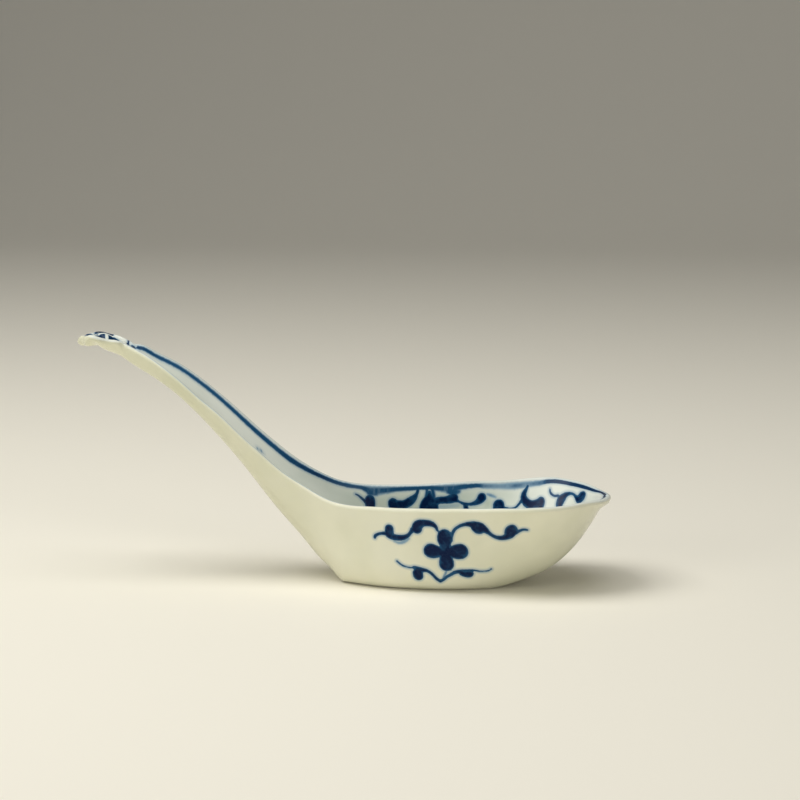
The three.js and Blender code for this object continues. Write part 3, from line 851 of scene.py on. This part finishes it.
def holePlaces():
    # an inner ring and an outer oval round a solid middle
    turn = 2 * math.pi * np.arange(drain["innerHoles"]) / drain["innerHoles"]
    inner = drain["innerRingRadius"] * np.stack([np.cos(turn), np.sin(turn)], -1)
    turn = 2 * math.pi * (np.arange(drain["outerHoles"]) + 0.5) / drain["outerHoles"]
    size = np.array([drain["outerRingLength"], drain["outerRingWidth"]]) / 2
    return np.concatenate([inner, size * np.stack([np.cos(turn), np.sin(turn)], -1)])


def innerFloor(x, y, rows):
    # height of the bowl's floor: the wall, thinning with the square of the way to the edge
    half = outerHalf(x.reshape(-1), rows)
    length = np.linalg.norm(np.diff(half, axis=1), axis=-1).sum(1).reshape(x.shape)
    return mixed(spoon["wall"], spoon["lipWall"], (np.abs(y) / length) ** 2)


def footOutline(rings, profile, around, first, last, k):
    # the foot's edge in the outer face and in the inner face, the same way round, and its half width
    stations = np.arange(first, last + 1)
    outline = [(i, around - k) for i in stations] + [(last, j) for j in range(around - k + 1, around)]
    outline += [(last, j) for j in range(0, k)] + [(i, k) for i in stations[::-1]]
    outline += [(first, j) for j in range(k - 1, -1, -1)]
    outline += [(first, j) for j in range(around - 1, around - k, -1)]
    outerEdge = np.array([rings[i, j] for i, j in outline])
    innerEdge = np.array([rings[i, (profile - 1 - j) % around] for i, j in outline])
    return outerEdge, innerEdge, rings[stations, k, :2]


def makeBores(circles, places, rim, circle, rows):
    # each bore down its wall: rim circle, quarter round in, straight wall, quarter round out
    steps, sides = drain["arcSteps"], drain["sides"]
    arc = np.linspace(0, math.pi / 2, steps)
    inset = np.concatenate([np.sin(arc), np.sin(arc[::-1])])[None, :, None]
    fall = np.concatenate([1 - np.cos(arc), -(1 - np.cos(arc[::-1]))])[None, :, None]
    fromTop = np.concatenate([np.zeros(steps), np.ones(steps)])[None, :, None]
    reach = rim[:, None, None] - drain["edgeRound"] * inset
    boreX = places[:, None, None, 0] + reach * circle[None, None, :, 0]
    boreY = places[:, None, None, 1] + reach * circle[None, None, :, 1]
    topX = np.broadcast_to(circles[:, None, :, 0], boreX.shape)
    topY = np.broadcast_to(circles[:, None, :, 1], boreX.shape)
    boreZ = fromTop * innerFloor(topX, topY, rows) + drain["edgeRound"] * fall
    bores = np.stack([boreX, boreY, boreZ], -1)
    levels = bores.shape[1]
    h, p, s = np.meshgrid(np.arange(len(places)), np.arange(levels - 1), np.arange(sides), indexing="ij")
    here, below = (h * levels + p) * sides, (h * levels + p + 1) * sides
    beside = (s + 1) % sides
    faces = np.stack([here + s, below + s, below + beside, here + beside], -1).reshape(-1, 4)
    return bores.reshape(-1, 3), faces


def piercedFloor(rings, profile, around, first, last, rows):
    # flat patches with round holes for both faces of the foot, and the rounded bores between
    outerEdge, innerEdge, side = footOutline(rings, profile, around, first, last, rows["floor"])
    places, sides, step = holePlaces(), drain["sides"], drain["patchStep"]
    turn = 2 * math.pi * np.arange(sides) / sides
    circle = np.stack([np.cos(turn), np.sin(turn)], -1)
    uneven = 1 + drain["unevenness"] * np.sin(5 * np.arange(len(places)))
    rim = drain["bore"] / 2 * uneven + drain["edgeRound"]
    circles = places[:, None] + rim[:, None, None] * circle[None]
    collar = places[:, None] + (rim[:, None, None] + drain["collar"]) * circle[None]
    reach, halfWidth = drain["patchReach"], drain["patchHalfWidth"]
    spots = np.meshgrid(np.arange(-reach, reach, step), np.arange(-halfWidth, halfWidth, step))
    spots = np.stack(spots, -1).reshape(-1, 2)
    clear = np.linalg.norm(spots[:, None] - places[None], axis=-1) > rim[None] + drain["collar"] + step / 3
    limit = np.interp(spots[:, 0], side[:, 0], side[:, 1]) - step / 2
    ends = outerEdge[:, 0].min() + step / 2, outerEdge[:, 0].max() - step / 2
    inX = (spots[:, 0] > ends[0]) & (spots[:, 0] < ends[1])
    spots = spots[clear.all(1) & inX & (np.abs(spots[:, 1]) < limit)]
    flat = np.concatenate([outerEdge[:, :2], circles.reshape(-1, 2), collar.reshape(-1, 2), spots])
    count = len(outerEdge)
    edges = [(i, (i + 1) % count) for i in range(count)]
    for start in range(count, count + len(places) * sides, sides):
        edges += [(start + s, start + (s + 1) % sides) for s in range(sides)]
    verts, _, faces, origins, _, _ = delaunay_2d_cdt([Vector(spot) for spot in flat], edges, [], 1, 1e-6)
    spread = np.array([tuple(v) for v in verts])
    faces = np.array([face for face in faces if len(face) == 3])
    centres = spread[faces].mean(1)
    apart = np.linalg.norm(centres[:, None] - places[None], axis=-1)
    faces = faces[(apart > rim[None] * math.cos(math.pi / sides)).all(1)]
    start, second, third = spread[faces].transpose(1, 0, 2)
    turnOver = np.cross(second - start, third - start) < 0
    faces[turnOver] = faces[turnOver][:, ::-1]
    source = np.array([origin[0] if origin else -1 for origin in origins])
    under = np.concatenate([spread, np.zeros((len(spread), 1))], 1)
    over = np.concatenate([spread, innerFloor(spread[:, 0], spread[:, 1], rows)[:, None]], 1)
    onEdge = (source >= 0) & (source < count)
    under[onEdge], over[onEdge] = outerEdge[source[onEdge]], innerEdge[source[onEdge]]
    return (under, faces[:, ::-1]), (over, faces), makeBores(circles, places, rim, circle, rows)


skinRows = {"floor": 5, "corner": 22, "side": 40, "lip": 8}
sections = {
    "topEnd": -67,
    "topCount": 14,
    "handleCount": 42,
    "bowlCount": 197,
    "bowFrom": 34,
    "bowCount": 62,
    "lipLineFrom": 26,
    "flowerCount": 150,
}


def crowded(low, high, count, atHigh=True):
    # places that crowd towards one end: sin or 1 - cos of a quarter turn
    turn = np.linspace(0, math.pi / 2, count + 1)
    share = np.sin(turn) if atHigh else 1 - np.cos(turn)
    return mixed(low, high, share)


def makeBody():
    # the bowl and the handle: one skin with the pierced foot set into both its faces
    neck = -spoon["neckReach"]
    stations = np.concatenate(
        [
            crowded(-spoon["jointReach"], sections["topEnd"], sections["topCount"], False)[:-1],
            np.linspace(sections["topEnd"], neck, sections["handleCount"] + 1)[:-1],
            np.linspace(neck, sections["bowFrom"], sections["bowlCount"] + 1)[:-1],
            crowded(sections["bowFrom"], spoon["lipReach"], sections["bowCount"]),
        ]
    )
    rings, profile = skinRings(stations, skinRows)
    count, around = rings.shape[:2]
    faces = ringFaces(count, around)
    first = int(np.searchsorted(stations, -drain["patchReach"]))
    last = int(np.searchsorted(stations, drain["patchReach"]))
    k = skinRows["floor"]
    ring = np.arange(around)
    bottom = (ring < k) | (ring >= around - k)
    inner = (ring >= profile - 1 - k) & (ring < profile - 1 + k)
    pierced = np.zeros((count - 1, around), bool)
    pierced[first:last] = bottom | inner
    quads = faces[~pierced]
    cap = capFaces(0, profile, around, False)
    tip = capFaces((count - 1) * around, profile, around, True)
    under, over, bores = piercedFloor(rings, profile, around, first, last, skinRows)
    points = rings.reshape(-1, 3)
    inside = insideMask(count, around, skinRows)
    allPoints, allFaces, allInside = [points], list(quads) + list(cap), [inside]
    base = len(points)
    for (patch, patchFaces), within in ((under, False), (over, True), (bores, False)):
        allPoints.append(patch)
        allFaces += list(patchFaces + base)
        allInside.append(np.full(len(patch), within))
        base += len(patch)
    points, inside = np.concatenate(allPoints), np.concatenate(allInside)
    top = lipTopRow(skinRows)
    onBow = rings[stations > sections["lipLineFrom"]]
    lipLine = np.concatenate([onBow[:, top], onBow[:, around - top]])
    return finishedMesh("spoonBody", points, allFaces, paintAttributes(points, inside, lipLine))


# How strongly the glaze gathers in each place, and where that is, in millimetres; the stem
# and hollow rows are painted shade, not gathered glaze
gathered = {
    "nearHole": 0.5,
    "holeReach": (1.3, 2.2),
    "holeHeight": 3,
    "corner": 0.3,
    "cornerHeight": 3.2,
    "cornerSpread": 2,
    "cornerEnd": 30,
    "trough": 0.2,
    "troughPlace": -27,
    "troughLength": 12,
    "troughDepth": (1, 5),
    "spot": 0.5,
    "spotPlace": 15,
    "spotDepth": 5.6,
    "spotSize": (1.1, 1.3),
    "stem": 0.45,
    "stemShadeFade": (-70, -22),
    "hollow": 0.62,
    "hollowShadeDepth": (0.8, 4),
    "hollowShadeStart": (-30, -18),
    "hollowShadeEnd": (4, 36),
}


def poolingAndShadeAt(points, inside):
    # where the glaze gathered and went greener: round the bores, in the corner under the sides,
    # up the neck's trough and in one spot under the inner scroll; and painted shade, darker and
    # greener in the bowl's hollow behind the near lip and up the handle's outside
    x, y, z = points.T
    gap = np.linalg.norm(points[:, None, :2] - holePlaces()[None], axis=-1).min(1)
    nearHole = (1 - smoothStep(gap, *gathered["holeReach"])) * (z < gathered["holeHeight"])
    corner = inside * np.exp(-(((z - gathered["cornerHeight"]) / gathered["cornerSpread"]) ** 2))
    corner = corner * (np.abs(x) < gathered["cornerEnd"])
    along = (x - gathered["troughPlace"]) / gathered["troughLength"]
    trough = inside * np.exp(-(along**2)) * (1 - smoothStep(edgeAt(x) - z, *gathered["troughDepth"]))
    depth = edgeAt(x) + spoon["lipWall"] / 2 - z
    wide, high = gathered["spotSize"]
    across, down = (x - gathered["spotPlace"]) / wide, (depth - gathered["spotDepth"]) / high
    spot = inside * np.exp(-(across**2) - down**2)
    # painted shade: the handle's outside darker and greener towards its end, where less light reaches it
    stem = ~inside * (1 - smoothStep(x, *gathered["stemShadeFade"]))
    # painted shade: the bowl's inner wall darker and greener in its hollow behind the near lip
    hollow = inside * smoothStep(depth, *gathered["hollowShadeDepth"]) * smoothStep(x, *gathered["hollowShadeStart"])
    hollow = hollow * (1 - smoothStep(x, *gathered["hollowShadeEnd"]))
    names = ("nearHole", "corner", "trough", "spot", "stem", "hollow")
    masks = (nearHole, corner, trough, spot, stem, hollow)
    return np.clip(sum(gathered[name] * mask for name, mask in zip(names, masks)), 0, 1)


def makeFlower():
    # the flower and its bead: the same skin carried on to the handle's end
    stations = crowded(flower["end"], -spoon["jointReach"], sections["flowerCount"], False)
    rings, profile = skinRings(stations, skinRows)
    count, around = rings.shape[:2]
    faces = list(ringFaces(count, around).reshape(-1, 4))
    faces += list(capFaces((count - 1) * around, profile, around, True))
    points = rings.reshape(-1, 3)
    inside = insideMask(count, around, skinRows)
    return finishedMesh("flowerHead", points, faces, paintAttributes(points, inside))


spoonBody = makeBody()
print("body shaped,", len(spoonBody.data.polygons), "faces")
flowerHead = makeFlower()
print("flower shaped,", len(flowerHead.data.polygons), "faces")


def colour(red, green, blue):
    # linear light out of an everyday 0 to 255 colour
    shares = np.array([red, green, blue]) / 255
    linear = np.where(shares <= 0.04045, shares / 12.92, ((shares + 0.055) / 1.055) ** 2.4)
    return (*linear.tolist(), 1.0)


glaze = {
    "cream": colour(231, 230, 208),
    # the cooler inside colour is partly a faint haze of cobalt in the glaze and partly painted cool shading
    "creamInside": colour(229, 233, 223),
    # the gathered-glaze colours: greener glaze, and painted shade where they darken the bowl's hollow and
    # the handle's outside; the inside one is darker than gathered glaze alone, as painted shade
    "pooledAndShaded": colour(203, 205, 170),
    "pooledAndShadedInside": colour(172, 186, 170),
    "deepCobalt": colour(4, 27, 64),
    "midCobalt": colour(34, 82, 120),
    "paleCobalt": colour(136, 165, 184),
    "speck": colour(96, 78, 56),
    "shade": (0.55, 0.56, 0.52, 1),
    "speckSpacing": 95,
    "speckShare": 0.86,
    "streakStretch": (1, 0.25, 0.22),
    "bumpHeight": 0.00002,
    "specularLevel": 0.1,
    "leastRoughness": 0.16,
    "mostRoughness": 0.28,
}


def newGroup(name, inputs, outputs):
    # a shader group whose inputs are colours where their value is a tuple, and numbers otherwise
    group = bpy.data.node_groups.new(name, "ShaderNodeTree")
    for label, value in inputs.items():
        kind = "NodeSocketColor" if isinstance(value, tuple) else "NodeSocketFloat"
        group.interface.new_socket(label, in_out="INPUT", socket_type=kind).default_value = value
    for label, kind in outputs.items():
        group.interface.new_socket(label, in_out="OUTPUT", socket_type=kind)
    return group, group.nodes.new("NodeGroupInput").outputs, group.nodes.new("NodeGroupOutput").inputs


def feed(tree, socket, value):
    # a plain value is set on the socket, and a node's output is linked to it
    if isinstance(value, (int, float, tuple)):
        socket.default_value = value
    else:
        tree.links.new(value, socket)


def maths(tree, operation, *values, clamp=False):
    node = tree.nodes.new("ShaderNodeMath")
    node.operation, node.use_clamp = operation, clamp
    for socket, value in zip(node.inputs, values):
        feed(tree, socket, value)
    return node.outputs[0]


def times(tree, first, second):
    return maths(tree, "MULTIPLY", first, second)


def ramped(tree, value, low, high, lowValue=0.0, highValue=1.0):
    node = tree.nodes.new("ShaderNodeMapRange")
    node.interpolation_type = "SMOOTHSTEP"
    labels = ("Value", "From Min", "From Max", "To Min", "To Max")
    for label, given in zip(labels, (value, low, high, lowValue, highValue)):
        feed(tree, node.inputs[label], given)
    return node.outputs["Result"]


def blended(tree, share, first, second):
    node = tree.nodes.new("ShaderNodeMix")
    node.data_type = "RGBA"
    for slot, value in ((0, share), (6, first), (7, second)):
        feed(tree, node.inputs[slot], value)
    return node.outputs[2]


def clouds(tree, scale, detail, roughness, vector):
    node = tree.nodes.new("ShaderNodeTexNoise")
    for label, value in zip(("Scale", "Detail", "Roughness", "Vector"), (scale, detail, roughness, vector)):
        feed(tree, node.inputs[label], value)
    return node.outputs["Fac"]


def objectPlace(tree):
    return tree.nodes.new("ShaderNodeTexCoord").outputs["Object"]


def makeBodyTint():
    # the fired body's colour: cream outside, cooler inside, greener where the glaze gathered,
    # faint clouds and a few iron specks. The cooler inside is partly a faint cobalt haze and partly
    # painted cool shading; the gathered-glaze colours also paint shade into the bowl's hollow and
    # up the handle's outside
    group, given, made = newGroup(
        "porcelainTint",
        {
            "Outside": glaze["cream"],
            "Inside": glaze["creamInside"],
            "Pooled And Shaded": glaze["pooledAndShaded"],
            "Gathered And Shaded Inside": glaze["pooledAndShadedInside"],
            "Speck": glaze["speck"],
            "Inside Share": 0.0,
            "Pooling And Shade": 0.0,
        },
        {"Color": "NodeSocketColor"},
    )
    place = objectPlace(group)
    wide = clouds(group, 55, 3, 0.5, place)
    fine = clouds(group, 260, 2, 0.5, place)
    base = blended(group, given["Inside Share"], given["Outside"], given["Inside"])
    drift = times(group, ramped(group, wide, 0.42, 0.68), 0.22)
    pooledAndShaded = maths(group, "ADD", times(group, given["Pooling And Shade"], 0.75), drift, clamp=True)
    deep = blended(group, given["Inside Share"], given["Pooled And Shaded"], given["Gathered And Shaded Inside"])
    base = blended(group, pooledAndShaded, base, deep)
    shade = ramped(group, fine, 0.3, 0.7, 0.0, 0.05)
    base = blended(group, shade, base, glaze["shade"])
    cells = group.nodes.new("ShaderNodeTexVoronoi")
    cells.inputs["Scale"].default_value = glaze["speckSpacing"]
    group.links.new(place, cells.inputs["Vector"])
    dot = ramped(group, cells.outputs["Distance"], 0.012, 0.03, 1.0, 0.0)
    rare = group.nodes.new("ShaderNodeSeparateColor")
    group.links.new(cells.outputs["Color"], rare.inputs["Color"])
    few = maths(group, "GREATER_THAN", rare.outputs["Red"], glaze["speckShare"])
    dot = times(group, times(group, dot, few), 0.55)
    group.links.new(blended(group, dot, base, given["Speck"]), made["Color"])
    return group


def makeCobalt():
    # cobalt brushed on under the glaze. Its ink is laid on by strokes, by thinner streaky washes
    # and by a faint bleed, and takes the body's colour through pale and middle blue to deep
    group, given, made = newGroup(
        "cobaltUnderglaze",
        {
            "Body": glaze["cream"],
            "Deep": glaze["deepCobalt"],
            "Middle": glaze["midCobalt"],
            "Pale": glaze["paleCobalt"],
            "Stroke Distance": paintReach["noInk"],
            "Wash Distance": paintReach["noInk"],
            "Wash Tone": 1.0,
            "Wash Blur": 0.1,
        },
        {"Color": "NodeSocketColor", "Mask": "NodeSocketFloat"},
    )
    place = objectPlace(group)
    stretched = group.nodes.new("ShaderNodeVectorMath")
    stretched.operation = "MULTIPLY"
    stretched.inputs[1].default_value = glaze["streakStretch"]
    group.links.new(place, stretched.inputs[0])
    ragged = maths(group, "SUBTRACT", clouds(group, 1400, 2, 0.6, place), 0.5)
    streak = clouds(group, 330, 3, 0.55, place)
    drips = clouds(group, 1400, 2, 0.6, stretched.outputs[0])
    edge = maths(group, "MULTIPLY_ADD", ragged, 0.2, given["Stroke Distance"])
    core = ramped(group, edge, -0.1, 0.1, 1.0, 0.0)
    depth = ramped(group, edge, -0.6, 0.0, 1.15, 0.35)
    uneven = ramped(group, streak, 0.3, 0.66, 0.5, 1.0)
    strokeInk = times(group, core, maths(group, "MULTIPLY_ADD", depth, uneven, 0.75))
    bleed = ramped(group, given["Stroke Distance"], 0.0, 0.85, 1.0, 0.0)
    bleed = times(group, maths(group, "POWER", bleed, 1.5), 0.3)
    drip = maths(group, "SUBTRACT", drips, 0.5)
    raggedness = maths(group, "MULTIPLY_ADD", given["Wash Blur"], 0.8, 0.12)
    washEdge = maths(group, "MULTIPLY_ADD", drip, raggedness, given["Wash Distance"])
    soft = maths(group, "MULTIPLY_ADD", given["Wash Blur"], 0.95, 0.06)
    washCore = ramped(group, washEdge, times(group, soft, -1), soft, 1.0, 0.0)
    washStreak = times(group, given["Wash Blur"], ramped(group, drips, 0.25, 0.75, -0.28, 0.2))
    washTone = times(group, given["Wash Tone"], maths(group, "ADD", washStreak, 1.0))
    washInk = times(group, washCore, washTone)
    washBleed = ramped(group, given["Wash Distance"], 0.0, 0.8, 1.0, 0.0)
    washBleed = times(group, washBleed, times(group, given["Wash Tone"], 0.17))
    ink = maths(group, "MAXIMUM", strokeInk, washInk)
    ink = maths(group, "MAXIMUM", ink, maths(group, "MAXIMUM", bleed, washBleed))
    paleShare = maths(group, "MULTIPLY", ink, 2.1, clamp=True)
    midShare = ramped(group, ink, 0.4, 1.05)
    deepShare = ramped(group, ink, 0.95, 1.8)
    base = blended(group, paleShare, given["Body"], given["Pale"])
    base = blended(group, midShare, base, given["Middle"])
    group.links.new(blended(group, deepShare, base, given["Deep"]), made["Color"])
    group.links.new(midShare, made["Mask"])
    return group


def makeGlazeSkin():
    # the glaze's surface: soft waves under a faint orange peel, and roughness in clouds
    group, given, made = newGroup(
        "glazeSkin",
        {
            "Least Roughness": glaze["leastRoughness"],
            "Most Roughness": glaze["mostRoughness"],
            "Paint": 0.0,
        },
        {"Roughness": "NodeSocketFloat", "Normal": "NodeSocketVector"},
    )
    place = objectPlace(group)
    peel = clouds(group, 700, 1, 0.4, place)
    wave = clouds(group, 120, 2, 0.4, place)
    worn = clouds(group, 320, 4, 0.6, place)
    spread = maths(group, "SUBTRACT", given["Most Roughness"], given["Least Roughness"])
    rough = maths(group, "MULTIPLY_ADD", ramped(group, worn, 0.35, 0.75), spread, given["Least Roughness"])
    rough = maths(group, "MULTIPLY_ADD", given["Paint"], 0.04, rough)
    height = maths(group, "MULTIPLY_ADD", wave, 7.0, peel)
    bump = group.nodes.new("ShaderNodeBump")
    bump.inputs["Strength"].default_value = 0.3
    bump.inputs["Distance"].default_value = glaze["bumpHeight"]
    group.links.new(height, bump.inputs["Height"])
    group.links.new(rough, made["Roughness"])
    group.links.new(bump.outputs["Normal"], made["Normal"])
    return group


porcelainTint = makeBodyTint()
cobaltUnderglaze = makeCobalt()
glazeSkin = makeGlazeSkin()


def placed(tree, group, values):
    # a group's outputs, with an attribute read from the mesh where a value is its name
    node = tree.nodes.new("ShaderNodeGroup")
    node.node_tree = group
    for label, value in values.items():
        if isinstance(value, str):
            reader = tree.nodes.new("ShaderNodeAttribute")
            reader.attribute_name, value = value, reader.outputs["Fac"]
        feed(tree, node.inputs[label], value)
    return node.outputs


def paintedPorcelain(name):
    material = bpy.data.materials.new(name)
    material.use_nodes = True
    tree = material.node_tree
    shader = tree.nodes["Principled BSDF"].inputs
    body = placed(tree, porcelainTint, {"Inside Share": "insideShare", "Pooling And Shade": "poolingAndShade"})
    washes = {"Wash Distance": "washDistance", "Wash Tone": "washTone", "Wash Blur": "washBlur"}
    cobalt = {"Body": body["Color"], "Stroke Distance": "strokeDistance"} | washes
    paint = placed(tree, cobaltUnderglaze, cobalt)
    skin = placed(tree, glazeSkin, {"Paint": paint["Mask"]})
    feed(tree, shader["Base Color"], paint["Color"])
    feed(tree, shader["Roughness"], skin["Roughness"])
    feed(tree, shader["Normal"], skin["Normal"])
    shader["Specular IOR Level"].default_value = glaze["specularLevel"]
    return material


for piece, material, slotName, nodes in (
    (spoonBody, "bodyPorcelain", "body_porcelain", ("bowl", "handle")),
    (flowerHead, "flowerPorcelain", "flower_porcelain", ("flower", "bead")),
):
    piece.data.materials.append(paintedPorcelain(material))
    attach(piece, "root")
    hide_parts(*nodes)
print("porcelain glazed and painted")

studio = {
    "floor": colour(247, 243, 230),
    "sweepStart": 0.9,
    "sweepRadius": 0.8,
    "sweepHeight": 2.2,
    "width": 5.0,
    "front": -2.2,
    "floorRoughness": 0.6,
    "floorShine": 0.2,
    "world": colour(246, 248, 255),
    "worldStrength": 0.08,
    "lens": 123.5,
    "camera": (0.10316, -0.6857, 0.1502),
    "target": (-0.00514, -0.00192, 0.04672),
    "sensor": 36,
    "farthest": 20,
    "softboxes": {  # place, target, size, power and colour of each
        "topSoftbox": ((0, -0.05, 0.85), (0, 0, 0), (0.6, 0.5), 2.3, colour(255, 253, 248)),
        "leftSoftbox": ((-0.45, -0.15, 0.75), (0, 0, 0), (0.5, 0.5), 4.6, colour(255, 253, 248)),
        "frontLeftSoftbox": ((-0.75, -0.9, 0.35), (0, 0, 0.03), (0.5, 0.4), 2.2, colour(255, 254, 250)),
        "frontRightSoftbox": ((0.75, -0.9, 0.35), (0, 0, 0.03), (0.5, 0.4), 2.8, colour(255, 254, 250)),
    },
}


def makeSweep():
    # a floor that turns up behind on a quarter circle into an upright backdrop
    turn = np.linspace(0, math.pi / 2, 24)
    start, radius = studio["sweepStart"], studio["sweepRadius"]
    y = np.concatenate([[studio["front"]], start + radius * np.sin(turn), [start + radius]])
    z = np.concatenate([[0], radius * (1 - np.cos(turn)), [studio["sweepHeight"]]])
    x = np.linspace(-studio["width"] / 2, studio["width"] / 2, 9)
    gridX, gridY = np.meshgrid(x, y, indexing="ij")
    points = np.stack([gridX, gridY, np.broadcast_to(z, gridX.shape)], -1).reshape(-1, 3)
    rows = len(y)
    i, j = np.meshgrid(np.arange(len(x) - 1), np.arange(rows - 1), indexing="ij")
    here, beside = i * rows + j, (i + 1) * rows + j
    faces = np.stack([here, beside, beside + 1, here + 1], -1).reshape(-1, 4)
    mesh = bpy.data.meshes.new("studioSweep")
    mesh.from_pydata(points.tolist(), [], faces.tolist())
    mesh.shade_smooth()
    sweep = bpy.data.objects.new("studioSweep", mesh)
    bpy.context.scene.collection.objects.link(sweep)
    material = bpy.data.materials.new("paleSweep")
    material.use_nodes = True
    shader = material.node_tree.nodes["Principled BSDF"]
    shader.inputs["Base Color"].default_value = studio["floor"]
    shader.inputs["Roughness"].default_value = studio["floorRoughness"]
    shader.inputs["Specular IOR Level"].default_value = studio["floorShine"]
    mesh.materials.append(material)


def makeSoftbox(name, place, target, size, power, tint):
    light = bpy.data.lights.new(name, "AREA")
    light.shape = "RECTANGLE"
    light.size, light.size_y = size
    light.energy = power
    light.color = tint[:3]
    lamp = bpy.data.objects.new(name, light)
    lamp.location = place
    lamp.rotation_euler = (Vector(target) - Vector(place)).to_track_quat("-Z", "Y").to_euler()
    bpy.context.scene.collection.objects.link(lamp)


def makeCamera():
    view = bpy.data.cameras.new("photoView")
    view.lens = studio["lens"]
    view.sensor_width = studio["sensor"]
    view.clip_end = studio["farthest"]
    camera = bpy.data.objects.new("photoView", view)
    place, target = Vector(studio["camera"]), Vector(studio["target"])
    camera.location = place
    camera.rotation_euler = (target - place).to_track_quat("-Z", "Y").to_euler()
    bpy.context.scene.collection.objects.link(camera)
    bpy.context.scene.camera = camera


makeSweep()
for name, values in studio["softboxes"].items():
    makeSoftbox(name, *values)
makeCamera()
world = bpy.data.worlds.new("studioWorld")
world.use_nodes = True
background = world.node_tree.nodes["Background"].inputs
background["Color"].default_value = studio["world"]
background["Strength"].default_value = studio["worldStrength"]
bpy.context.scene.world = world
bpy.context.scene.view_settings.view_transform = "Standard"
print("studio set")
